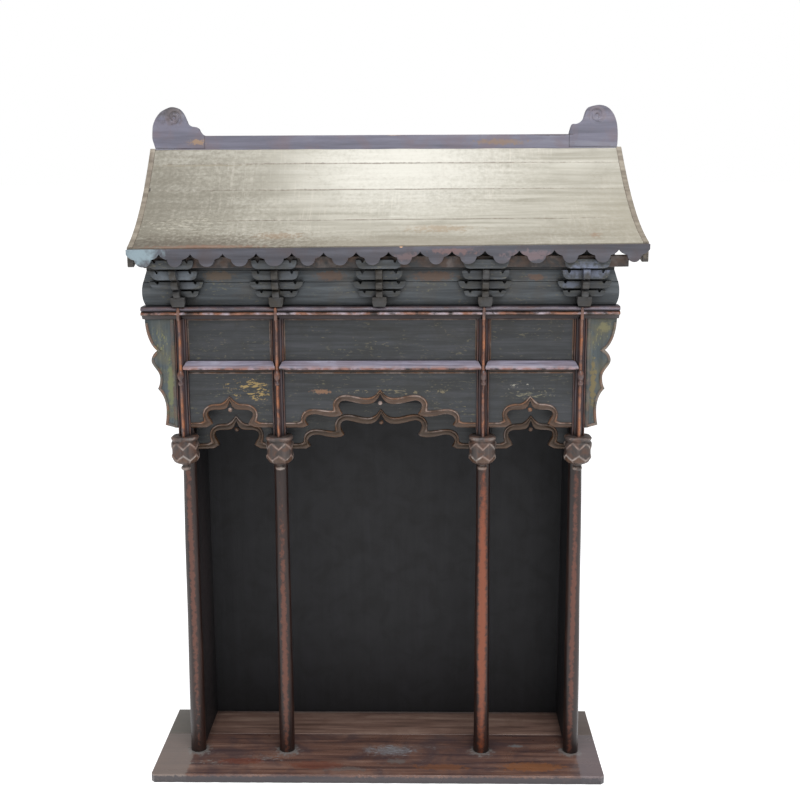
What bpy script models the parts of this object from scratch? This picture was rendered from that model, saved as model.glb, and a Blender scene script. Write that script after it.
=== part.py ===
"""Carved wooden altar shrine with a single-slope roof.

Metres, +Z up, the front faces -Y. The origin is the centre of the base board's underside.
The framework of columns and frieze stands a little to the right of the base board, and the
roof a little further still, as on the real object.
"""
import math

import bmesh
import bpy
from mathutils import Vector
from mathutils.geometry import interpolate_bezier

GAP = 0.0003

# Base board of two planks
BASE_WIDTH = 0.860
BASE_DEPTH = 0.2732
BASE_THICK = 0.0175
BASE_SEAM_Y = 0.0288
BASE_CORNER = 0.006
BASE_FRONT_Y = -BASE_DEPTH / 2
BASE_BACK_Y = BASE_DEPTH / 2

# Columns, which lean in a little towards the top
FRAME_X = 0.0105
COLUMN_Y = -0.0346
COLUMN_TOP_Z = 0.7177
OUTER_FOOT_X, OUTER_TOP_X = 0.3670, 0.3615
INNER_FOOT_X, INNER_TOP_X = 0.1915, 0.1900
COLUMN_FOOT_R, COLUMN_TOP_R = 0.0152, 0.0124
COLUMN_SIDES = 20

# Walls behind the columns
BACK_THICK = 0.008
BACK_FACE_Y = BASE_BACK_Y - BACK_THICK
SIDE_INNER_X, SIDE_OUTER_X = 0.3575, 0.3675
LINTEL_HEIGHT, LINTEL_DEPTH = 0.030, 0.018
TIE_HEIGHT, TIE_WIDTH = 0.022, 0.016

# Frieze: the plane of its panels and what stands on it
FACE_Y = -0.0775
PANEL_THICK = 0.008
POST_BACK_Y = -0.0635
POST_HALF = 0.01125
OUTER_POST_X, INNER_POST_X = 0.3605, 0.1860
POST_BOTTOM_Z = 0.6652
NOSE_HALF, NOSE_PROUD = 0.0026, 0.0180
LOWER_RAIL_BOTTOM_Z, LOWER_RAIL_TOP_Z = 0.7868, 0.8036
UPPER_RAIL_BOTTOM_Z, UPPER_RAIL_TOP_Z = 0.8804, 0.9038
UPPER_RAIL_HALF = 0.4278
APRON_BOTTOM_Z, REAR_APRON_BOTTOM_Z = 0.6792, 0.6300
REAR_APRON_FACE_Y = COLUMN_Y - 0.0045
FRONT_ARCH_X = {"left": -0.2655, "centre": 0.0098, "right": 0.2830}
REAR_ARCH_X = {"left": -0.2608, "centre": 0.0098, "right": 0.2883}
REAR_ARCH_RISE = 1.08
BEAD_HEIGHT, BEAD_PROUD = 0.0094, 0.0025

# Cusped arches, right half, from the foot to the peak: the cut edge and the bead's upper edge,
# as distance from the arch's middle and height above the apron's lower edge
CENTRE_CUT = ((0.1411, 0.0003), (0.1325, 0.0046), (0.1364, 0.0103), (0.1373, 0.0155), (0.1345, 0.0202),
              (0.1284, 0.0239), (0.1170, 0.0249), (0.1015, 0.0217), (0.0851, 0.0202), (0.0746, 0.0217),
              (0.0691, 0.0252), (0.0736, 0.0323), (0.0760, 0.0398), (0.0745, 0.0459), (0.0697, 0.0495),
              (0.0629, 0.0504), (0.0538, 0.0486), (0.0411, 0.0456), (0.0301, 0.0441), (0.0192, 0.0445),
              (0.0119, 0.0472), (0.0067, 0.0513), (0.0029, 0.0565), (0.0, 0.0621))
CENTRE_BEAD = ((0.1530, 0.0096), (0.1468, 0.0118), (0.1449, 0.0165), (0.1445, 0.0215), (0.1404, 0.0288),
               (0.1325, 0.0331), (0.1233, 0.0348), (0.1105, 0.0340), (0.0978, 0.0323), (0.0914, 0.0318),
               (0.0870, 0.0318), (0.0862, 0.0379), (0.0865, 0.0441), (0.0832, 0.0517), (0.0768, 0.0575),
               (0.0687, 0.0606), (0.0583, 0.0610), (0.0465, 0.0590), (0.0346, 0.0564), (0.0237, 0.0556),
               (0.0146, 0.0578), (0.0077, 0.0619), (0.0036, 0.0671), (0.0, 0.0708))
SIDE_CUT = ((0.0442, 0.0006), (0.0329, 0.0068), (0.0364, 0.0138), (0.0404, 0.0203), (0.0415, 0.0263),
            (0.0389, 0.0306), (0.0321, 0.0331), (0.0202, 0.0336), (0.0101, 0.0349), (0.0048, 0.0390),
            (0.0022, 0.0446), (0.0, 0.0493))
SIDE_BEAD = ((0.0560, 0.0095), (0.0493, 0.0128), (0.0500, 0.0181), (0.0507, 0.0259), (0.0470, 0.0353),
             (0.0385, 0.0418), (0.0284, 0.0443), (0.0174, 0.0450), (0.0101, 0.0491), (0.0044, 0.0547),
             (0.0022, 0.0571), (0.0, 0.0590))

# Pendants under the hanging posts, and pegs on their fronts
PENDANT_Y = -0.0800
PENDANT_HALF = 0.0278
PENDANT_TOP_Z, PENDANT_TIP_Z = 0.6649, 0.5985
PEG_BOTTOM_Z, PEG_TOP_Z, PEG_R = 0.7600, 0.7890, 0.0060

# Bands above the frieze
BRACKET_PANEL_TOP_Z = 0.9462
STRIP_TOP_Z = 0.9672
HEAD_TOP_Z, HEAD_HALF = 1.0130, 0.4180

# Roof: one concave slope from the eave up to the ridge board
EAVE_Y, RIDGE_Y = -0.1310, 0.1216
EAVE_Z, RIDGE_Z = 1.0118, 1.1823
EAVE_X, RIDGE_X = 0.0252, 0.0154
EAVE_HALF, RIDGE_HALF = 0.4554, 0.4509
EAVE_SAG = 0.0037
ROOF_CURVE = 0.40
PLANK_SEAMS = (0.0, 0.40, 0.69, 0.897, 1.0)
PLANK_THICK = 0.010
BARGE_THICK, BARGE_DEPTH, BARGE_PROUD = 0.0095, 0.0380, 0.0008
FASCIA_THICK, FASCIA_HEIGHT = 0.0100, 0.0310
# Widths of the hand-cut scallops from left to right
SCALLOP_WIDTHS = (0.0574, 0.0550, 0.0567, 0.0586, 0.0624, 0.0552, 0.0567, 0.0564,
                  0.0550, 0.0549, 0.0573, 0.0595, 0.0607, 0.0558, 0.0559, 0.0533)
SHOULDER_RUN, SHOULDER_RISE, CUSP_RISE = 0.0143, 0.0128, 0.0226

# Eave purlin and the five bracket sets
PURLIN_FRONT_Y, PURLIN_BACK_Y = -0.1095, -0.0980
PURLIN_BOTTOM_Z, PURLIN_TOP_Z = 0.9745, 0.9950
PURLIN_LEFT_X, PURLIN_RIGHT_X = -0.4050, 0.4480
BRACKET_X = (-0.3620, -0.1840, 0.0, 0.1880, 0.3640)
BRACKET_LEAN = (-0.09, 0.0, 0.0, 0.0, 0.02)
BRACKET_MIDDLE_Z = 0.9400
BEAK_HALF = 0.0060

# Ridge board and the ornaments at its ends
RIDGE_BACK_Y = BASE_BACK_Y
RIDGE_TOP_Z = 1.2070
RIDGE_FOOT_Z = RIDGE_Z - PLANK_THICK - 0.024
ORNAMENT_HEIGHT = 0.0780
# Outlines of the ornaments from the outer foot over the curl to the ridge, as shares of width and height
LEFT_ORNAMENT_WIDTH, RIGHT_ORNAMENT_WIDTH = 0.1010, 0.0925
LEFT_ORNAMENT = ((0.050, 0.0), (0.030, 0.10), (0.0, 0.24), (0.004, 0.39), (0.020, 0.56), (0.077, 0.73),
                 (0.173, 0.878), (0.290, 0.963), (0.385, 1.0), (0.480, 0.98), (0.558, 0.915),
                 (0.615, 0.805), (0.663, 0.66), (0.692, 0.578), (0.750, 0.537), (0.827, 0.52),
                 (0.885, 0.476), (0.913, 0.402), (0.952, 0.341), (1.0, 0.31))
RIGHT_ORNAMENT = ((0.010, 0.0), (0.0, 0.13), (0.0, 0.30), (0.021, 0.54), (0.074, 0.735), (0.158, 0.88),
                  (0.263, 0.969), (0.389, 1.0), (0.516, 0.98), (0.610, 0.94), (0.663, 0.855),
                  (0.690, 0.76), (0.716, 0.663), (0.768, 0.595), (0.853, 0.554), (0.926, 0.549),
                  (0.958, 0.494), (0.983, 0.398), (1.0, 0.31))


def clear_scene():
    for item in list(bpy.data.objects):
        bpy.data.objects.remove(item, do_unlink=True)


def paint(name, colour, roughness):
    """Return a material of one colour, given as linear red, green and blue."""
    material = bpy.data.materials.new(name)
    material.use_nodes = True
    shader = material.node_tree.nodes["Principled BSDF"]
    shader.inputs["Base Color"].default_value = (*colour, 1.0)
    shader.inputs["Roughness"].default_value = roughness
    shader.inputs["Metallic"].default_value = 0.0
    return material


def loft(rings):
    """Return a closed mesh through rings of points, one after another, with a face at each end."""
    shape = bmesh.new()
    rows = [[shape.verts.new(point) for point in ring] for ring in rings]
    count = len(rows[0])
    for low, high in zip(rows, rows[1:]):
        for i in range(count):
            j = (i + 1) % count
            shape.faces.new((low[i], low[j], high[j], high[i]))
    shape.faces.new(rows[0][::-1])
    shape.faces.new(rows[-1])
    bmesh.ops.recalc_face_normals(shape, faces=shape.faces)
    mesh = bpy.data.meshes.new("loft")
    shape.to_mesh(mesh)
    shape.free()
    return mesh


def box(low, high):
    """Return a block between two corners."""
    (x0, y0, z0), (x1, y1, z1) = low, high
    corners = ((x0, y0), (x1, y0), (x1, y1), (x0, y1))
    return loft([[(x, y, z0) for x, y in corners], [(x, y, z1) for x, y in corners]])


def board_xz(outline, front_y, back_y):
    """Return a board cut to an outline of (x, z) points, between two planes across Y."""
    return loft([[(x, front_y, z) for x, z in outline], [(x, back_y, z) for x, z in outline]])


def board_yz(outline, low_x, high_x):
    """Return a board cut to an outline of (y, z) points, between two planes across X."""
    return loft([[(low_x, y, z) for y, z in outline], [(high_x, y, z) for y, z in outline]])


def curve(start, handle_a, handle_b, end, steps):
    """Return the points of a Bezier stretch, without its last one."""
    ends = [Vector((*p, 0.0)) for p in (start, handle_a, handle_b, end)]
    return [(p.x, p.y) for p in interpolate_bezier(*ends, steps + 1)[:-1]]


def fused(meshes):
    """Return one mesh, the union of several that overlap."""
    body, *others = [bpy.data.objects.new("piece", mesh) for mesh in meshes]
    for item in (body, *others):
        bpy.context.scene.collection.objects.link(item)
    for other in others:
        union = body.modifiers.new("union", "BOOLEAN")
        union.operation = "UNION"
        union.solver = "EXACT"
        union.object = other
    state = bpy.context.evaluated_depsgraph_get()
    mesh = bpy.data.meshes.new_from_object(body.evaluated_get(state))
    for item in (body, *others):
        bpy.data.objects.remove(item, do_unlink=True)
    return mesh


def place(name, mesh, material, at=(0.0, 0.0, 0.0)):
    """Add one sub-part to the scene."""
    mesh.name = name
    mesh.materials.clear()
    mesh.materials.append(material)
    item = bpy.data.objects.new(name, mesh)
    item.location = at
    bpy.context.scene.collection.objects.link(item)
    return item


def smooth(item, degrees=35):
    item.data.shade_smooth()
    item.data.set_sharp_from_angle(angle=math.radians(degrees))


def roof_z(s):
    """Height of the roof above its eave, along the slope from 0 at the eave to 1 at the ridge."""
    return (RIDGE_Z - EAVE_Z) * (ROOF_CURVE * s + (1 - ROOF_CURVE) * s * s)


def roof_y(s):
    return EAVE_Y + (RIDGE_Y - EAVE_Y) * s


def roof_place(y):
    """Place along the slope, 0 to 1, of a distance across the roof."""
    return (y - EAVE_Y) / (RIDGE_Y - EAVE_Y)


def roof_half(s):
    return EAVE_HALF + (RIDGE_HALF - EAVE_HALF) * s


def roof_point(u, s, drop, inset=0.0):
    """Point on the roof: u from -1 at the left edge to 1 at the right, s up the slope, drop below it."""
    half = roof_half(s) - inset
    x = EAVE_X + (RIDGE_X - EAVE_X) * s + u * half
    z = EAVE_Z + roof_z(s) + EAVE_SAG * u * (1 - s) - drop
    return (x, roof_y(s), z)


def under_roof(x, y, clearance=GAP):
    """Height of the planks' underside above a point of the plan."""
    s = roof_place(y)
    u = (x - EAVE_X) / EAVE_HALF
    return EAVE_Z + roof_z(s) - EAVE_SAG * abs(u) - PLANK_THICK - clearance


def build_base(wood):
    """Two planks that meet a little behind the columns, their outer corners rounded."""
    half = BASE_WIDTH / 2
    r = BASE_CORNER
    turn = (0.0, math.pi / 6, math.pi / 3, math.pi / 2)
    ease = [(r * (1 - math.cos(a)), r * (1 - math.sin(a))) for a in turn]

    def plank(front, back, round_front):
        edge = front if round_front else back
        other = back if round_front else front
        into = 1 if round_front else -1
        left = [(-half + a, edge + into * b) for a, b in ease]
        right = [(-x, y) for x, y in reversed(left)]
        outline = left + right + [(half, other), (-half, other)]
        return loft([[(x, y, z) for x, y in outline] for z in (0.0, BASE_THICK)])

    place("base_plank_front", plank(BASE_FRONT_Y, BASE_SEAM_Y - GAP / 2, True), wood)
    place("base_plank_back", plank(BASE_SEAM_Y + GAP / 2, BASE_BACK_Y, False), wood)


def build_columns(wood):
    """Four tapered round columns, each leaning in slightly."""
    heights = (BASE_THICK + GAP, 0.25, 0.48, COLUMN_TOP_Z)
    spots = {
        "column_outer_left": (-OUTER_FOOT_X, -OUTER_TOP_X),
        "column_inner_left": (-INNER_FOOT_X, -INNER_TOP_X),
        "column_inner_right": (INNER_FOOT_X, INNER_TOP_X),
        "column_outer_right": (OUTER_FOOT_X, OUTER_TOP_X),
    }
    for name, (foot_x, top_x) in spots.items():
        rings = []
        for z in heights:
            t = (z - BASE_THICK) / (COLUMN_TOP_Z - BASE_THICK)
            x = FRAME_X + foot_x + (top_x - foot_x) * t
            r = COLUMN_FOOT_R + (COLUMN_TOP_R - COLUMN_FOOT_R) * t
            turn = [2 * math.pi * i / COLUMN_SIDES for i in range(COLUMN_SIDES)]
            rings.append([(x + r * math.cos(a), COLUMN_Y + r * math.sin(a), z) for a in turn])
        smooth(place(name, loft(rings), wood))


def build_walls(dark):
    """Back panel, side panels that reach forward above the columns, lintel and tie beams."""
    foot = BASE_THICK + GAP
    place("back_panel", box((FRAME_X - SIDE_OUTER_X, BACK_FACE_Y, foot),
                            (FRAME_X + SIDE_OUTER_X, BASE_BACK_Y, RIDGE_FOOT_Z)), dark)
    wall_back = BACK_FACE_Y - GAP
    column_back = COLUMN_Y + COLUMN_FOOT_R + GAP
    front = POST_BACK_Y + GAP
    step_z = COLUMN_TOP_Z + GAP
    for side, name in ((-1, "side_panel_left"), (1, "side_panel_right")):
        low, high = sorted((FRAME_X + side * SIDE_INNER_X, FRAME_X + side * SIDE_OUTER_X))
        slope = [front + (RIDGE_Y - front) * i / 6 for i in range(7)]
        outline = [(column_back, foot), (wall_back, foot), (wall_back, RIDGE_FOOT_Z), (RIDGE_Y, RIDGE_FOOT_Z)]
        outline += [(y, under_roof(high, y)) for y in reversed(slope)]
        outline += [(front, step_z), (column_back, step_z)]
        place(name, board_yz(outline, low, high), dark)
    beam_half = SIDE_INNER_X - GAP
    place("rear_lintel", box((FRAME_X - beam_half, COLUMN_Y - LINTEL_DEPTH / 2, step_z),
                             (FRAME_X + beam_half, COLUMN_Y + LINTEL_DEPTH / 2, step_z + LINTEL_HEIGHT)), dark)
    tie_z = step_z + LINTEL_HEIGHT + GAP
    for side, name in ((-1, "tie_beam_left"), (1, "tie_beam_right")):
        x = FRAME_X + side * INNER_POST_X
        place(name, box((x - TIE_WIDTH / 2, front, tie_z), (x + TIE_WIDTH / 2, wall_back, tie_z + TIE_HEIGHT)), dark)


def post_section(x):
    """Section of a hanging post seen from above: a square back, two shoulders and a nose."""
    side = [(POST_HALF, 0.0030), (POST_HALF - 0.0022, 0.0042), (POST_HALF - 0.0040, 0.0032),
            (NOSE_HALF + 0.0012, 0.0125), (NOSE_HALF, 0.0155), (NOSE_HALF * 0.6, NOSE_PROUD)]
    right = [(x + dx, FACE_Y - proud) for dx, proud in side]
    left = [(x - dx, FACE_Y - proud) for dx, proud in reversed(side)]
    return [(x - POST_HALF, POST_BACK_Y), (x + POST_HALF, POST_BACK_Y)] + right + left


def post_places():
    return {
        "outer_left": FRAME_X - OUTER_POST_X,
        "inner_left": FRAME_X - INNER_POST_X,
        "inner_right": FRAME_X + INNER_POST_X,
        "outer_right": FRAME_X + OUTER_POST_X,
    }


def build_posts(wood):
    """Four hanging posts that carry the frieze in front of the columns."""
    for name, x in post_places().items():
        section = post_section(x)
        rings = [[(px, py, z) for px, py in section] for z in (POST_BOTTOM_Z, UPPER_RAIL_BOTTOM_Z - GAP)]
        place("hanging_post_" + name, loft(rings), wood)


def pendant_mesh():
    """A carved six-sided basket: rim with raised corners, two zig-zag ridges, round bottom, neck and tip bead."""
    span = PENDANT_TOP_Z - PENDANT_TIP_Z
    # Each row: height at the corners and at the middles of the sides, then half width at both, as shares
    rows = ((1.00, 0.905, 0.86, 0.74), (0.965, 0.89, 0.98, 0.83), (0.91, 0.86, 0.98, 0.84), (0.87, 0.79, 0.93, 0.77),
            (0.84, 0.68, 0.97, 0.88), (0.60, 0.61, 0.92, 0.80), (0.37, 0.535, 0.94, 0.87), (0.30, 0.42, 0.80, 0.77),
            (0.235, 0.26, 0.52, 0.50), (0.215, 0.215, 0.24, 0.24), (0.175, 0.175, 0.20, 0.20), (0.12, 0.12, 0.30, 0.30),
            (0.06, 0.06, 0.30, 0.30), (0.015, 0.015, 0.20, 0.20), (0.0, 0.0, 0.06, 0.06))
    rings = []
    for corner_height, side_height, corner, side in rows:
        ring = []
        for i in range(12):
            a = math.pi * i / 6
            height, width = (corner_height, corner) if i % 2 == 0 else (side_height, side)
            r = PENDANT_HALF * width
            ring.append((r * math.cos(a), r * math.sin(a), PENDANT_TIP_Z + span * height))
        rings.append(ring)
    return loft(rings)


def build_pendants(wood):
    shape = pendant_mesh()
    for name, x in post_places().items():
        smooth(place("pendant_" + name, shape.copy(), wood, at=(x, PENDANT_Y, 0.0)), 25)


def build_pegs(wood):
    """Small flat-backed pegs of two beads on the noses of the posts."""
    sides = 12
    rows = ((0.0, 0.30), (0.06, 0.75), (0.14, 0.85), (0.22, 0.70), (0.30, 0.45), (0.42, 0.85),
            (0.62, 1.0), (0.82, 0.85), (0.95, 0.50), (1.0, 0.25))
    back = 0.0012
    for name, x in post_places().items():
        rings = []
        for t, width in rows:
            ring = []
            for i in range(sides):
                a = 2 * math.pi * i / sides
                ring.append((PEG_R * width * math.cos(a), min(back, PEG_R * width * math.sin(a)),
                             PEG_BOTTOM_Z + (PEG_TOP_Z - PEG_BOTTOM_Z) * t))
            rings.append(ring)
        nose = FACE_Y - NOSE_PROUD
        smooth(place("peg_" + name, loft(rings), wood, at=(x, nose - GAP - back, 0.0)))


def bays():
    """Centre and half width of the three bays between hanging posts."""
    inner = INNER_POST_X - POST_HALF - GAP
    outer_low, outer_high = INNER_POST_X + POST_HALF + GAP, OUTER_POST_X - POST_HALF - GAP
    centre = (outer_low + outer_high) / 2
    half = (outer_high - outer_low) / 2
    return {"left": (FRAME_X - centre, half), "centre": (FRAME_X, inner), "right": (FRAME_X + centre, half)}


def build_rails(wood):
    """Upper rail of two beads with a groove, and three lower rails cut to fit the posts' slopes."""
    face = FACE_Y
    z0, z1 = UPPER_RAIL_BOTTOM_Z, UPPER_RAIL_TOP_Z
    section = [(POST_BACK_Y, z0), (POST_BACK_Y, z1), (face - 0.0145, z1), (face - 0.0185, z1 - 0.0022),
               (face - 0.0200, z1 - 0.0046), (face - 0.0185, z1 - 0.0070), (face - 0.0140, z1 - 0.0078),
               (face - 0.0140, z1 - 0.0090), (face - 0.0195, z1 - 0.0098), (face - 0.0210, z1 - 0.0124),
               (face - 0.0195, z1 - 0.0150), (face - 0.0120, z1 - 0.0166), (face - 0.0060, z0)]
    ends = (FRAME_X - UPPER_RAIL_HALF, FRAME_X + UPPER_RAIL_HALF)
    place("rail_upper", loft([[(x, y, z) for y, z in section] for x in ends]), wood)

    z0, z1 = LOWER_RAIL_BOTTOM_Z, LOWER_RAIL_TOP_Z
    # Each row: how proud, lower and upper height, and how far its ends reach over the posts' slopes
    rows = ((-PANEL_THICK, z0, z1, 0.0), (0.0040, z0 + 0.0002, z1 - 0.0003, 0.0), (0.0048, z0 + 0.0004, z1 - 0.0010, 0.0030),
            (0.0120, z0 + 0.0014, z1 - 0.0062, 0.0060), (0.0152, z0 + 0.0026, z1 - 0.0086, 0.0074),
            (0.0162, z0 + 0.0040, z1 - 0.0106, 0.0078))
    for name, (centre, half) in bays().items():
        rings = []
        for proud, low, high, over in rows:
            left, right = centre - half - over, centre + half + over
            rings.append([(x, face - proud, z) for x, z in ((left, low), (right, low), (right, high), (left, high))])
        place("rail_lower_" + name, loft(rings), wood)


def build_frieze_panels(dark):
    for name, (centre, half) in bays().items():
        place("frieze_panel_" + name, box((centre - half, FACE_Y, LOWER_RAIL_TOP_Z + GAP),
                                          (centre + half, FACE_Y + PANEL_THICK, UPPER_RAIL_BOTTOM_Z - GAP)), dark)


def apron_mesh(bay, arch_x, span, heights, rise, face_y):
    """Board with a cusped arch cut from its lower edge and a raised bead along the cut."""
    (x0, x1), (bottom, top) = span, heights
    cut, bead = (CENTRE_CUT, CENTRE_BEAD) if bay == "centre" else (SIDE_CUT, SIDE_BEAD)

    def edge(half, foot):
        right = [(arch_x + x, bottom + rise * z) for x, z in half]
        left = [(2 * arch_x - x, z) for x, z in right]
        return [(x0 + GAP, bottom + foot)] + left[:-1] + right[::-1] + [(x1 - GAP, bottom + foot)]

    lower, upper = edge(cut, 0.0), edge(bead, BEAD_HEIGHT)
    middle = [((a + c) / 2, (b + d) / 2) for (a, b), (c, d) in zip(lower, upper)]
    middle[0], middle[-1] = (x0, middle[0][1]), (x1, middle[-1][1])
    plate = board_xz(middle + [(x1, top), (x0, top)], face_y, face_y + PANEL_THICK)
    raised = board_xz(lower + upper[::-1], face_y - BEAD_PROUD, face_y + PANEL_THICK - GAP)
    return fused([plate, raised])


def build_aprons(dark):
    """Front aprons under the lower rails, rear ones between the columns and lower down."""
    for name, (centre, half) in bays().items():
        mesh = apron_mesh(name, FRONT_ARCH_X[name], (centre - half, centre + half),
                          (APRON_BOTTOM_Z, LOWER_RAIL_BOTTOM_Z - GAP), 1.0, FACE_Y)
        place("front_apron_" + name, mesh, dark)
    clear = COLUMN_FOOT_R + GAP
    outer, inner = OUTER_TOP_X - clear, INNER_TOP_X + clear
    spans = {"left": (-outer, -inner), "centre": (clear - INNER_TOP_X, INNER_TOP_X - clear), "right": (inner, outer)}
    for name, (low, high) in spans.items():
        mesh = apron_mesh(name, REAR_ARCH_X[name], (FRAME_X + low, FRAME_X + high),
                          (REAR_APRON_BOTTOM_Z, COLUMN_TOP_Z), REAR_ARCH_RISE, REAR_APRON_FACE_Y)
        place("rear_apron_" + name, mesh, dark)


def wing_outline():
    """Outer edge of a wing board, from its top corner down, as distance from the frame's middle."""
    pieces = (
        ((0.4255, 0.8800), (0.4255, 0.8550), (0.4180, 0.8320), (0.4055, 0.8220), 5),
        ((0.4055, 0.8220), (0.4110, 0.8185), (0.4165, 0.8110), (0.4165, 0.8035), 4),
        ((0.4165, 0.8035), (0.4165, 0.7940), (0.4020, 0.7850), (0.4020, 0.7725), 4),
        ((0.4020, 0.7725), (0.4020, 0.7630), (0.4040, 0.7570), (0.4070, 0.7515), 3),
        ((0.4070, 0.7515), (0.3990, 0.7440), (0.3930, 0.7300), (0.3930, 0.7145), 4),
        ((0.3930, 0.7145), (0.3930, 0.7030), (0.3940, 0.6930), (0.3960, 0.6840), 2),
    )
    points = []
    for start, handle_a, handle_b, end, steps in pieces:
        points += curve(start, handle_a, handle_b, end, steps)
    return points + [(0.3960, 0.6840), (0.3755, 0.6785)]


def build_wings(green):
    """Flat wing boards outside the outer hanging posts."""
    inner = OUTER_POST_X + POST_HALF + GAP
    top = UPPER_RAIL_BOTTOM_Z - GAP
    outline = [(x, min(z, top)) for x, z in wing_outline()] + [(inner, 0.6785), (inner, top)]
    for side, name in ((-1, "wing_board_left"), (1, "wing_board_right")):
        points = [(FRAME_X + side * x, z) for x, z in outline]
        place(name, board_xz(points, FACE_Y, FACE_Y + PANEL_THICK), green)


def build_bands(dark):
    """Bracket panel, strip beam and head board above the upper rail."""
    end = (((0.4225, UPPER_RAIL_TOP_Z + GAP), (0.4265, 0.9110), (0.4290, 0.9200), (0.4280, 0.9330), 4),
           ((0.4280, 0.9330), (0.4275, 0.9380), (0.4265, 0.9420), (0.4255, BRACKET_PANEL_TOP_Z), 2))
    right = []
    for start, handle_a, handle_b, stop, steps in end:
        right += curve(start, handle_a, handle_b, stop, steps)
    right += [(0.4255, BRACKET_PANEL_TOP_Z)]
    outline = [(FRAME_X + x, z) for x, z in right] + [(FRAME_X - x, z) for x, z in reversed(right)]
    back = FACE_Y + PANEL_THICK
    place("bracket_panel", board_xz(outline, FACE_Y, back), dark)
    low, high = BRACKET_PANEL_TOP_Z + GAP, STRIP_TOP_Z
    outline = [(FRAME_X + 0.4250, low), (FRAME_X + 0.4180, high),
               (FRAME_X - 0.4180, high), (FRAME_X - 0.4250, low)]
    place("strip_beam", board_xz(outline, FACE_Y, back + 0.004), dark)
    place("head_board", box((FRAME_X - HEAD_HALF, FACE_Y, STRIP_TOP_Z + GAP),
                            (FRAME_X + HEAD_HALF, back, HEAD_TOP_Z)), dark)


def arm_across(half, bottom, top, near, far, left=-1.0):
    """Boat-shaped arm across a bracket set, with a notch before each end block; left is 0 for a half arm."""
    h = top - bottom
    right = [(0.76 * half, bottom), (0.90 * half, bottom + 0.20 * h), (0.97 * half, bottom + 0.55 * h), (half, top),
             (0.76 * half, top), (0.70 * half, top - 0.30 * h), (0.64 * half, top)]
    outline = right + ([(-x, z) for x, z in reversed(right)] if left else [(0.0, top), (0.0, bottom)])
    return board_xz(outline, FACE_Y - far, FACE_Y - near)


def arm_forward(bottom, top, reach):
    """Arm that points forward and ends in a beak."""
    h = top - bottom
    near = FACE_Y - GAP
    tip = FACE_Y - reach
    outline = [(near, bottom), (tip + 0.010, bottom), (tip + 0.002, bottom + 0.22 * h),
               (tip, bottom + 0.62 * h), (tip + 0.003, top - 0.10 * h), (tip + 0.008, top), (near, top)]
    return board_yz(outline, -BEAK_HALF - reach * 0.01, BEAK_HALF + reach * 0.01)


def bracket_mesh(whole):
    """One bracket set: base block, four arms across, three forward arms and a head block.

    A set that isn't whole has lost the left half of its lowest arm.
    """
    base_z = UPPER_RAIL_TOP_Z + GAP
    near = FACE_Y - GAP
    rings = []
    for z, half, reach in ((base_z, 0.0105, 0.019), (base_z + 0.007, 0.0130, 0.024), (0.9215, 0.0130, 0.024)):
        rings.append([(-half, near, z), (-half, FACE_Y - reach, z), (half, FACE_Y - reach, z), (half, near, z)])
    block = loft(rings)
    head = box((-0.0060, FACE_Y - 0.0190, 0.9690), (0.0060, near, under_roof(0.36, FACE_Y - 0.0190, 0.0015)))
    pieces = [
        block,
        arm_forward(0.9185, 0.9352, 0.0285),
        arm_across(0.0380, 0.9205, 0.9315, 0.0040, 0.0130, -1.0 if whole else 0.0),
        arm_forward(0.9342, 0.9525, 0.0355),
        arm_across(0.0480, 0.9350, 0.9485, 0.0028, 0.0142),
        arm_forward(0.9515, 0.9737, 0.0410),
        arm_across(0.0420, 0.9525, 0.9690, 0.0165, 0.0265),
        head,
        arm_across(0.0405, 0.9728, 0.9890, 0.0328, 0.0405),
    ]
    return fused(pieces)


def build_brackets(dark):
    """Five bracket sets, the outer ones leaning a little, and the purlin that they carry."""
    for number, (x, lean) in enumerate(zip(BRACKET_X, BRACKET_LEAN), start=1):
        mesh = bracket_mesh(number > 1)
        for vertex in mesh.vertices:
            vertex.co.x += lean * (vertex.co.z - BRACKET_MIDDLE_Z)
        place(f"bracket_set_{number}", mesh, dark, at=(FRAME_X + x, 0.0, 0.0))
    place("eave_purlin", box((PURLIN_LEFT_X, PURLIN_FRONT_Y, PURLIN_BOTTOM_Z),
                             (PURLIN_RIGHT_X, PURLIN_BACK_Y, PURLIN_TOP_Z)), dark)


def build_roof(bare, trim):
    """Four planks along the slope, barge boards at their ends and a scalloped fascia in front."""
    deck_start = roof_place(EAVE_Y + FASCIA_THICK + GAP)
    for number, (low, high) in enumerate(zip(PLANK_SEAMS, PLANK_SEAMS[1:]), start=1):
        low = max(low, deck_start)
        seam = GAP / (RIDGE_Y - EAVE_Y) / 2
        steps = 3 if high - low > 0.2 else 1
        rings = []
        for i in range(steps + 1):
            s = low + seam + (high - low - 2 * seam) * i / steps
            inset = BARGE_THICK + GAP
            rings.append([roof_point(-1, s, PLANK_THICK, inset), roof_point(1, s, PLANK_THICK, inset),
                          roof_point(1, s, 0.0, inset), roof_point(-1, s, 0.0, inset)])
        place(f"roof_plank_{number}", loft(rings), bare)
    for side, name in ((-1, "barge_board_left"), (1, "barge_board_right")):
        rings = []
        places = [deck_start + (1 - deck_start) * t for t in (0, 0.015, 0.04, 0.08, 0.2, 0.35, 0.5, 0.65, 0.8, 0.9, 1)]
        for s in places:
            turn = min(1.0, (s - deck_start) / 0.08)
            depth = BARGE_DEPTH * (0.86 + 0.14 * math.sqrt(1 - (1 - turn) ** 2))
            rings.append([roof_point(side, s, depth), roof_point(side, s, -BARGE_PROUD),
                          roof_point(side, s, -BARGE_PROUD, BARGE_THICK), roof_point(side, s, depth, BARGE_THICK)])
        place(name, loft(rings), trim)
    place("fascia_board", fascia_mesh(), trim)


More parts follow.
